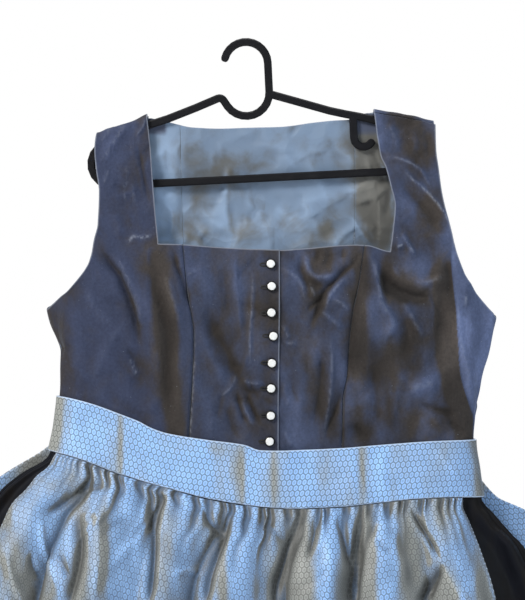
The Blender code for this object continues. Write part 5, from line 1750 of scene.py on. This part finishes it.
def lining_change(points):
    """The back lining's creases go forwards, away from the velvet behind it."""
    x, z = seen(points)
    small = scattered(
        29, 130, (-180, 240, -500, -90), width=15, height=3.8, length=100, power=1.0,
        sides=(0.16, 0.3, 4.0),
    )
    height = relief(x, z, on_drawing(LINING_CREASES) + small)[0] + undulation(x, z, 31, 0.5)
    for seam in (LEFT.seam_back, RIGHT.seam_back):
        height = height + dip(x, z, seam, 1.6, 0.2)
    most = mix(0.9, 4.4, ramp((-112 - z) / 40)) * ramp((z - waist_height(x, back=True)) / 30)
    return -np.clip(height + 0.8, -0.5, most)


def sew_lining(part, points, out, cells):
    x, z = seen(points)
    paints = {
        "brown": patches_at(x, z, LINING_PATCHES),
        # Painted light: the strap's shadow lifted, and the lower lining lighter.
        "pale": patches_at(x, z, LINING_PAINTED_LIGHT) + 0.25 * ramp((-150 - z) / 60),
        "turned": ramp((z + 109) / 5) * np.maximum(ramp((-97 - x) / 5), ramp((x - 126) / 5)),
    }
    sew(f"cotton_{part}", f"lining_{part}", "lining", points, 1, lining_change,
        paints, cells, out, -VELVET - LINING_GAP)


def lapped_limit(x, z):
    """The left front's crease limits, lower where the buttons are."""
    low, high = front_limit(x, z)
    flatter = ramp((x - 4) / 14)
    return low * mix(1.0, 0.22, flatter), high * mix(1.0, 0.3, flatter)


def under_limit(x, z):
    """The right front's crease limits, lower where it lies under the left front."""
    low, high = front_limit(x, z)
    free = ramp((x - LAP_EDGE - 1) / 12)
    return low * free - 0.3, high * free + 0.05


def build_centre_fronts():
    gap = SEAM_GAP / 2
    seam_left, seam_right = (
        (side.seam_top, waist_height(side.seam_front(SEAM_FOOT))) for side in (LEFT, RIGHT)
    )
    middle = (NECKLINE(LAP_EDGE), waist_height(LAP_EDGE))
    points, out = front_centre_grid(
        lambda z: LEFT.seam_front(z) + gap, lambda z: LAP_EDGE - 1.5 * ramp((-300 - z) / 150),
        seam_left, middle, 76,
    )
    edge = free_edge(points, points[0], points[:, -1])
    points = points + out * lap_lift(points[..., 0])[..., None]
    paints = velvet_paints(points, FRONT_CREASES, FRONT_PATCHES, edge)
    x, z = seen(points)
    # A painted highlight beside the left princess seam, low down.
    beside = np.exp(-(((x - LEFT.seam_front(z) - 1.2) / 1.3) ** 2)) * ramp((-330 - z) / 60)
    paints["rub_and_highlight"] = np.maximum(paints["rub_and_highlight"], 0.3 * beside)
    change = shaped(FRONT_CREASES, 2, [LEFT.seam_front], lapped_limit)
    sew_velvet("centre_front_left", -1, points, out, change, paints)

    points, out = front_centre_grid(
        lambda z: LAP_START + 0 * z, lambda z: RIGHT.seam_front(z) - gap, middle, seam_right, 70
    )
    paints = velvet_paints(points, FRONT_CREASES, FRONT_PATCHES, free_edge(points, points[0]))
    change = shaped(FRONT_CREASES, 4, [RIGHT.seam_front], under_limit)
    sew_velvet("centre_front_right", -1, points, out, change, paints)


# ---------------------------------------------------------------- apron, skirt and ties

def pucker_waves(across, below, count, seed, longest, shortest):
    """The gathers' wave, -1 to 1, fading down, and the share of surplus cloth used up."""
    random = np.random.default_rng(seed)
    knots = np.arange(count + 1) / count
    knots[1:-1] += random.uniform(-0.46, 0.46, count - 1) / count
    phase = np.interp(across, knots, np.arange(count + 1))
    reach = shortest + (longest - shortest) * random.uniform(0, 1, count + 1) ** 4
    strength = random.uniform(0.3, 1.0, count + 1)
    nearest = np.clip(np.round(phase).astype(int), 0, count)
    turned = phase - nearest
    nick = np.exp(-((turned / 0.17) ** 2)) * strength[nearest]
    fade = np.exp(-((below / reach[nearest]) ** 1.5))
    swell = np.cos(2 * math.pi * (turned - 0.5)) * 0.14
    used = (nearest + ramp(turned / 0.3 + 0.5) - 0.5) / count
    return (swell * np.exp(-below / longest) - nick * fade), used


def apron_grid():
    """The apron's points and its cut: gathers hide the surplus of its width at the band."""
    across = spaced(326, (0.0012, 0.003), (0.0012, 0.003))
    start = band_path(apron_turn(across, 42.0)) + APRON_GAP
    share = (spaced(144, (0.0004,), (0.0004,)) ** 1.75)[:, None]
    down = mix(start, APRON_LENGTH, share)
    across = across + 0 * down
    below = down - start
    large, used = pucker_waves(across, below, PUCKERS, 5, 62.0, 11.0)
    small, _ = pucker_waves(across, below, SMALL_PUCKERS, 8, 12.0, 4.0)
    gathered = 0.2 + 0.8 * ramp((across - 0.11) / 0.05)  # the left end lies smooth
    puckers = gathered * (1.25 * large + 0.45 * small)
    points = apron_point(across, down, puckers)
    lengths = grid_lengths(points, 1)
    full = lengths[-1, -1] * 1.02
    surplus = np.maximum(full - lengths[:, -1:], 0)
    sideways = lengths + surplus * used
    cut = np.stack([sideways, -grid_lengths(points, 0)], axis=-1)
    # Painted shade, carried as fold: the gathers' pits by the band and the valleys between the big
    # folds are darker.
    between = ramp(1 - apron_folds(across, down) / 0.4)
    by_band = 1.6 + 3.2 * np.exp(-((below / 14) ** 2))
    hollow = by_band * PUCKER_HEIGHT(down) * puckers - 5.0 * between
    return points, cut, hollow, below


def apron_change(points):
    """The apron's own creases, less deep by the band."""
    x, z = seen(points)
    small = scattered(
        23, 60, (-340, 330, -1150, -520), width=8, height=2.2, length=70, power=1.3
    )
    height = 1.1 * relief(x, z, on_drawing(APRON_CREASES) + small)[0] + undulation(x, z, 21, 0.8)
    by_band = BAND_BOTTOM(x) - z
    deepest = mix(1.0, 8.0, ramp(by_band / 45))
    return np.clip(height * ramp((by_band + 2) / 20), -deepest, 5.5)


def stitch_lines(points, at_side, at_bottom):
    """1 along the lines sewn this far in from the sides and above the bottom edge."""
    from_side = np.minimum(
        distance_to(points, points[::2, 0]), distance_to(points, points[::2, -1])
    )
    from_bottom = grid_lengths(points, 0)[-1:] - grid_lengths(points, 0)
    lines = [np.abs(from_side - at) for at in at_side] + [np.abs(from_bottom - at_bottom)]
    return np.exp(-((np.min(lines, axis=0) / STITCH_WIDTH) ** 2)), from_side


def band_change(points):
    x, z = seen(points)
    height = relief(x, z, on_drawing(BAND_CREASES))[0] + undulation(x, z, 41, 0.35)
    return np.clip(height, -1.2, 1.6)


def tie_change(points):
    return undulation(*seen(points), 51, 1.5)


def build_apron():
    points = band_grid()
    x, y, z = np.moveaxis(points, -1, 0)
    sew(
        "apron_waistband_cloth", "apron_waistband", "band", points, -1,
        band_change,
        {
            "brown": patches_at(x, z, BAND_PATCHES) * 0.7 * (y < 20),
            "edge": free_edge(points, points[0], points[-1]),
        },
    )
    points, cut, hollow, below = apron_grid()
    stitch_and_shadow, from_side = stitch_lines(points, APRON_HEMS, APRON_FOOT_HEM)
    # A painted shadow along the apron's top, under the band.
    shadow_under_band = 0.7 * np.exp(-(below**2))
    x, z = seen(points)
    sew(
        "apron_gathered", "apron", "apron", points, -1,
        apron_change,
        {
            "brown": patches_at(x, np.maximum(z, APRON_DRAWN_TO), APRON_PATCHES),
            "edge": from_side,
            # Stitches, with the painted shadow under the band.
            "stitch_and_shadow": np.maximum(stitch_and_shadow, shadow_under_band),
            # Painted shade in the valleys and the gathers' pits.
            "fold": 1.2 * hollow,
        },
        uv=cut,
    )
    for name in TIE_PATHS:
        points = tie_grid(name)
        stitch_and_shadow, from_side = stitch_lines(points, TIE_HEM, TIE_FOOT_HEM)
        stain = 0.6 * waves(*seen(points), 120, 6)
        sew(
            f"apron_tie_cloth_{name}", f"apron_tie_{name}", "tie", points, 1,
            tie_change,
            {"brown": stain, "edge": from_side, "stitch_and_shadow": stitch_and_shadow},
        )


SKIRT_CREASES = [
    ([(494, 484), (508, 506), (524, 528), (545, 545)], 7, 2.4, 0.6),
    ([(486, 500), (494, 532), (506, 570), (512, 600)], 7, -2.4),
    ([(500, 520), (512, 560), (530, 600)], 7, 2.2, 0.7),
    ([(40, 478), (24, 500), (8, 520), (-10, 540)], 7, 2.0),
    ([(36, 492), (20, 512), (0, 530)], 6, -2.0),
]


def skirt_change(points):
    """The skirt front's creases, which start under the band."""
    x, z = seen(points)
    height = relief(x, z, on_drawing(SKIRT_CREASES))[0] + undulation(x, z, 61, 1.1)
    return np.clip(height * ramp((BAND_BOTTOM(x) - 2 - z) / 30), -3.0, 4.0)


def skirt_back_change(points):
    """The skirt back's creases, and its gathers under the band."""
    x, z = seen(points)
    creases = undulation(x, z, 66, 1.1) + 0.8 * waves(x, z * 0.25, 30, 68)
    gathers = 0.9 * waves(x, z * 0.06, 9, 64) * np.exp(-np.maximum(-488 - z, 0) / 40)
    low = ramp((-478 - z) / 20)
    return np.clip((creases * ramp((-500 - z) / 60) + gathers) * low, -2.0, 2.0)


def build_skirt():
    for name, first, last, columns, facing, change in (
        ("front", SIDE_GAP - SIDE_SEAM, SIDE_SEAM - SIDE_GAP, 250, -1, skirt_change),
        ("back", SIDE_SEAM + SIDE_GAP, 3 * SIDE_SEAM - SIDE_GAP, 300, 1, skirt_back_change),
    ):
        turn = mix(first, last, shares(columns))
        down = mix(WAIST_GAP, SKIRT_LENGTH, spaced(104, (), (0.001, 0.003)) ** 1.2)[:, None]
        points = skirt_point(turn + 0 * down, down + 0 * turn)
        hem = grid_lengths(points, 0)[-1:] - grid_lengths(points, 0)
        from_seam = np.minimum(shares(columns), 1 - shares(columns))
        paints = {
            "raised": -0.5 * np.exp(-(((hem - SKIRT_HEM) / 2.0) ** 2)),
            "freedom": ramp(from_seam / 0.04) + 0 * down,
        }
        sew(f"skirt_satin_{name}", f"skirt_{name}", f"skirt_{name}", points, facing,
            change, paints)


# ---------------------------------------------------------------- buttons

BUTTON_RIM = 6.4
BUTTON_STANDOFF = 1.2
BUTTON_SIDES, STONE_SIDES = 32, 16
CLAWS = 4
METAL_PROFILE = [  # (radius, height) from the back to the stone's edge
    (0, -0.9), (1.6, -0.9), (1.6, 0.0), (5.6, 0.05), (6.25, 0.35), (BUTTON_RIM, 0.9),
    (6.2, 1.5), (5.8, 1.75), (5.1, 1.7), (4.95, 1.2),
]
STONE_PROFILE = [(4.95, 1.2), (5.0, 1.9), (4.6, 2.5), (3.4, 2.95), (0, 3.05)]
CLAW_PATH = [  # (radius, height, half its width)
    (5.9, 1.2, 0.5), (5.8, 2.2, 0.45), (5.5, 2.8, 0.4), (5.0, 3.1, 0.35), (4.6, 3.05, 0.2),
]
HOLE_LENGTH, HOLE_WIDTH = 7.5, 2.4
HOLE_STITCHES = 44
HOLE_BESIDE = 9.0  # how far left of its button the hole is
BUTTONS = [
    (28.5, -266.8), (29.6, -293.7), (29.2, -324.9), (31.6, -352.9), (29.8, -385.5),
    (28.9, -415.8), (28.5, -448.7), (27.2, -480.0),
]


def turned(build, profile, sides, slot, turn=0.0):
    """Spins a profile of (radius, height) points into a closed form, its axis along Z."""
    rings = []
    for radius, height in profile:
        if radius == 0:
            rings.append([build.verts.new((0, 0, height * METRE))])
            continue
        angles = [turn + 2 * math.pi * k / sides for k in range(sides)]
        rings.append([
            build.verts.new((
                radius * math.cos(a) * METRE, radius * math.sin(a) * METRE, height * METRE
            ))
            for a in angles
        ])
    for upper, lower in zip(rings, rings[1:]):
        for k in range(sides):
            corners = [
                upper[k % len(upper)], lower[k % len(lower)],
                lower[(k + 1) % len(lower)], upper[(k + 1) % len(upper)],
            ]
            face = build.faces.new(list(dict.fromkeys(corners)))
            face.material_index = slot
            face.smooth = slot == 0


def claw(build, angle):
    """A bent prong that holds the stone: a thin strip from the rim over its edge."""
    rings = []
    for radius, height, width in CLAW_PATH:
        ring = []
        for side, rise in ((-1, 0), (1, 0), (0.5, 0.45), (-0.5, 0.45)):
            reach = radius + rise * 0.5
            x = reach * math.cos(angle) - side * width * math.sin(angle)
            y = reach * math.sin(angle) + side * width * math.cos(angle)
            ring.append(build.verts.new((x * METRE, y * METRE, (height + rise) * METRE)))
        rings.append(ring)
    for ring, following in zip(rings, rings[1:]):
        for k in range(4):
            build.faces.new((ring[k], ring[k - 3], following[k - 3], following[k])).smooth = True
    build.faces.new(rings[0])
    build.faces.new(list(reversed(rings[-1])))


def placed(item, x, z, lift):
    """Puts a mesh made round +Z onto the front, this far off its cloth."""
    spots = front_point(
        np.array([[x - 1, x, x + 1]] * 3), np.array([[z + 1] * 3, [z] * 3, [z - 1] * 3])
    )
    out = normals_of(spots)[1, 1]
    base = spots[1, 1] + out * (lap_lift(x) + lift) + HANG
    turn = Vector(out).to_track_quat("Z", "Y").to_matrix().to_4x4()
    item.data.transform(turn)
    item.data.transform(Matrix.Translation(Vector(base * METRE)))


def finished(build, name, looks):
    """The object made of what was built, its faces turned outwards."""
    bmesh.ops.recalc_face_normals(build, faces=build.faces)
    mesh = bpy.data.meshes.new(name)
    build.to_mesh(mesh)
    build.free()
    return new_mesh_object(name, mesh, [LOOKS[look] for look in looks])


def build_button(number, x, z):
    build = bmesh.new()
    turned(build, METAL_PROFILE, BUTTON_SIDES, 0)
    for k in range(CLAWS):
        claw(build, math.radians(90 * k + 40 + 7 * number))
    turned(build, STONE_PROFILE, STONE_SIDES, 1, 0.4 * number)
    item = finished(build, f"jewel_button_{number}", ("metal", "stone"))
    placed(item, x, z, BUTTON_STANDOFF)
    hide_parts(f"button_{number}")


def build_buttonhole(number, x, z):
    """A worked hole beside its button: a ring of close stitches round a slit."""
    random = np.random.default_rng(100 + number)
    build = bmesh.new()
    for k in range(HOLE_STITCHES):
        angle = 2 * math.pi * (k + random.uniform(-0.2, 0.2)) / HOLE_STITCHES
        out_x, out_y = math.cos(angle), math.sin(angle)
        length = random.uniform(0.85, 1.15)
        rows = []
        for share, height in ((-1, 0.1), (-0.5, 0.42), (0.5, 0.42), (1, 0.1)):
            reach = share * length
            x_there = out_x * (HOLE_LENGTH * 0.5 + reach * 0.8)
            y_there = out_y * (HOLE_WIDTH * 0.75 + reach)
            rows.append([
                build.verts.new((
                    (x_there - out_y * 0.32 * side) * METRE,
                    (y_there + out_x * 0.32 * side) * METRE,
                    (height if side else height + 0.22) * METRE,
                ))
                for side in (-1, 0, 1)
            ])
        for row, following in zip(rows, rows[1:]):
            for j in range(2):
                build.faces.new((row[j], row[j + 1], following[j + 1], following[j]))
    item = finished(build, f"buttonhole_{number}", ("thread",))
    item.data.shade_smooth()
    placed(item, x - HOLE_BESIDE, z + random.uniform(-1.0, 1.0), 0.35)


# ---------------------------------------------------------------- light and camera

FLOOR_LEVEL = -1.29
DRESS_MIDDLE = (0, 0, -0.4)


def lamp(name, place, size, energy, colour, aim=DRESS_MIDDLE):
    data = bpy.data.lights.new(name, "AREA")
    data.size = size
    data.energy = energy
    data.color = colour
    turn = (Vector(aim) - Vector(place)).to_track_quat("-Z", "Y")
    add(name, data, place).rotation_euler = turn.to_euler()


def build_stage():
    """A white studio: the floor, four lamps and a world that looks white but lights less."""
    mesh = bpy.data.meshes.new("floor")
    corners = [(-6, -5), (6, -5), (6, 7), (-6, 7)]
    mesh.from_pydata([(x, y, FLOOR_LEVEL) for x, y in corners], [], [(0, 1, 2, 3)])
    mesh.materials.append(grained_material(
        "floor", (7.0, 5, 0.6), (0.78, 0.78, 0.78, 1), (0.84, 0.84, 0.84, 1), 0.0005, (0.8, 0),
    ))
    floor = add("floor", mesh)

    lamp("key", (-2.1, -2.1, 1.7), 1.1, 124, (1.0, 0.98, 0.95))
    lamp("fill", (2.5, -1.5, 0.3), 1.5, 38, (0.76, 0.88, 1.0))
    lamp("top", (0.0, 0.9, 3.2), 2.4, 60, (1.0, 1.0, 1.0), (0, 0.9, -1.2))
    lamp("behind", (0.8, 2.8, 1.2), 1.8, 60, (1.0, 0.98, 0.95))

    world = bpy.data.worlds.new("white studio")
    bpy.context.scene.world = world
    world.use_nodes = True
    tree = world.node_tree
    tree.nodes.clear()
    seen, lit = (tree.nodes.new("ShaderNodeBackground") for _ in range(2))
    seen.inputs["Color"].default_value = (1, 1, 1, 1)
    lit.inputs["Color"].default_value = (0.90, 0.95, 1.0, 1)
    lit.inputs["Strength"].default_value = 0.2
    choose = tree.nodes.new("ShaderNodeMixShader")
    rays = tree.nodes.new("ShaderNodeLightPath")
    out = tree.nodes.new("ShaderNodeOutputWorld")
    tree.links.new(rays.outputs["Is Camera Ray"], choose.inputs[0])
    tree.links.new(lit.outputs[0], choose.inputs[1])
    tree.links.new(seen.outputs[0], choose.inputs[2])
    tree.links.new(choose.outputs[0], out.inputs["Surface"])


def build_camera():
    data = bpy.data.cameras.new("camera")
    data.sensor_fit = "VERTICAL"
    data.sensor_height = 24
    data.lens = 88.5
    camera = add("camera", data, (0.0212, -2.7, -0.3101))
    camera.rotation_euler = (math.pi / 2, 0, 0)
    bpy.context.scene.camera = camera
    bpy.context.scene.view_settings.view_transform = "Standard"


def colour_hanger():
    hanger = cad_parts["hanger"]
    hanger.data.materials.clear()
    hanger.data.materials.append(plastic_material())


build_bodice()
build_apron()
build_skirt()
for number, (x, z) in enumerate(BUTTONS, start=1):
    build_button(number, x, z)
    build_buttonhole(number, x, z)
colour_hanger()
build_stage()
build_camera()
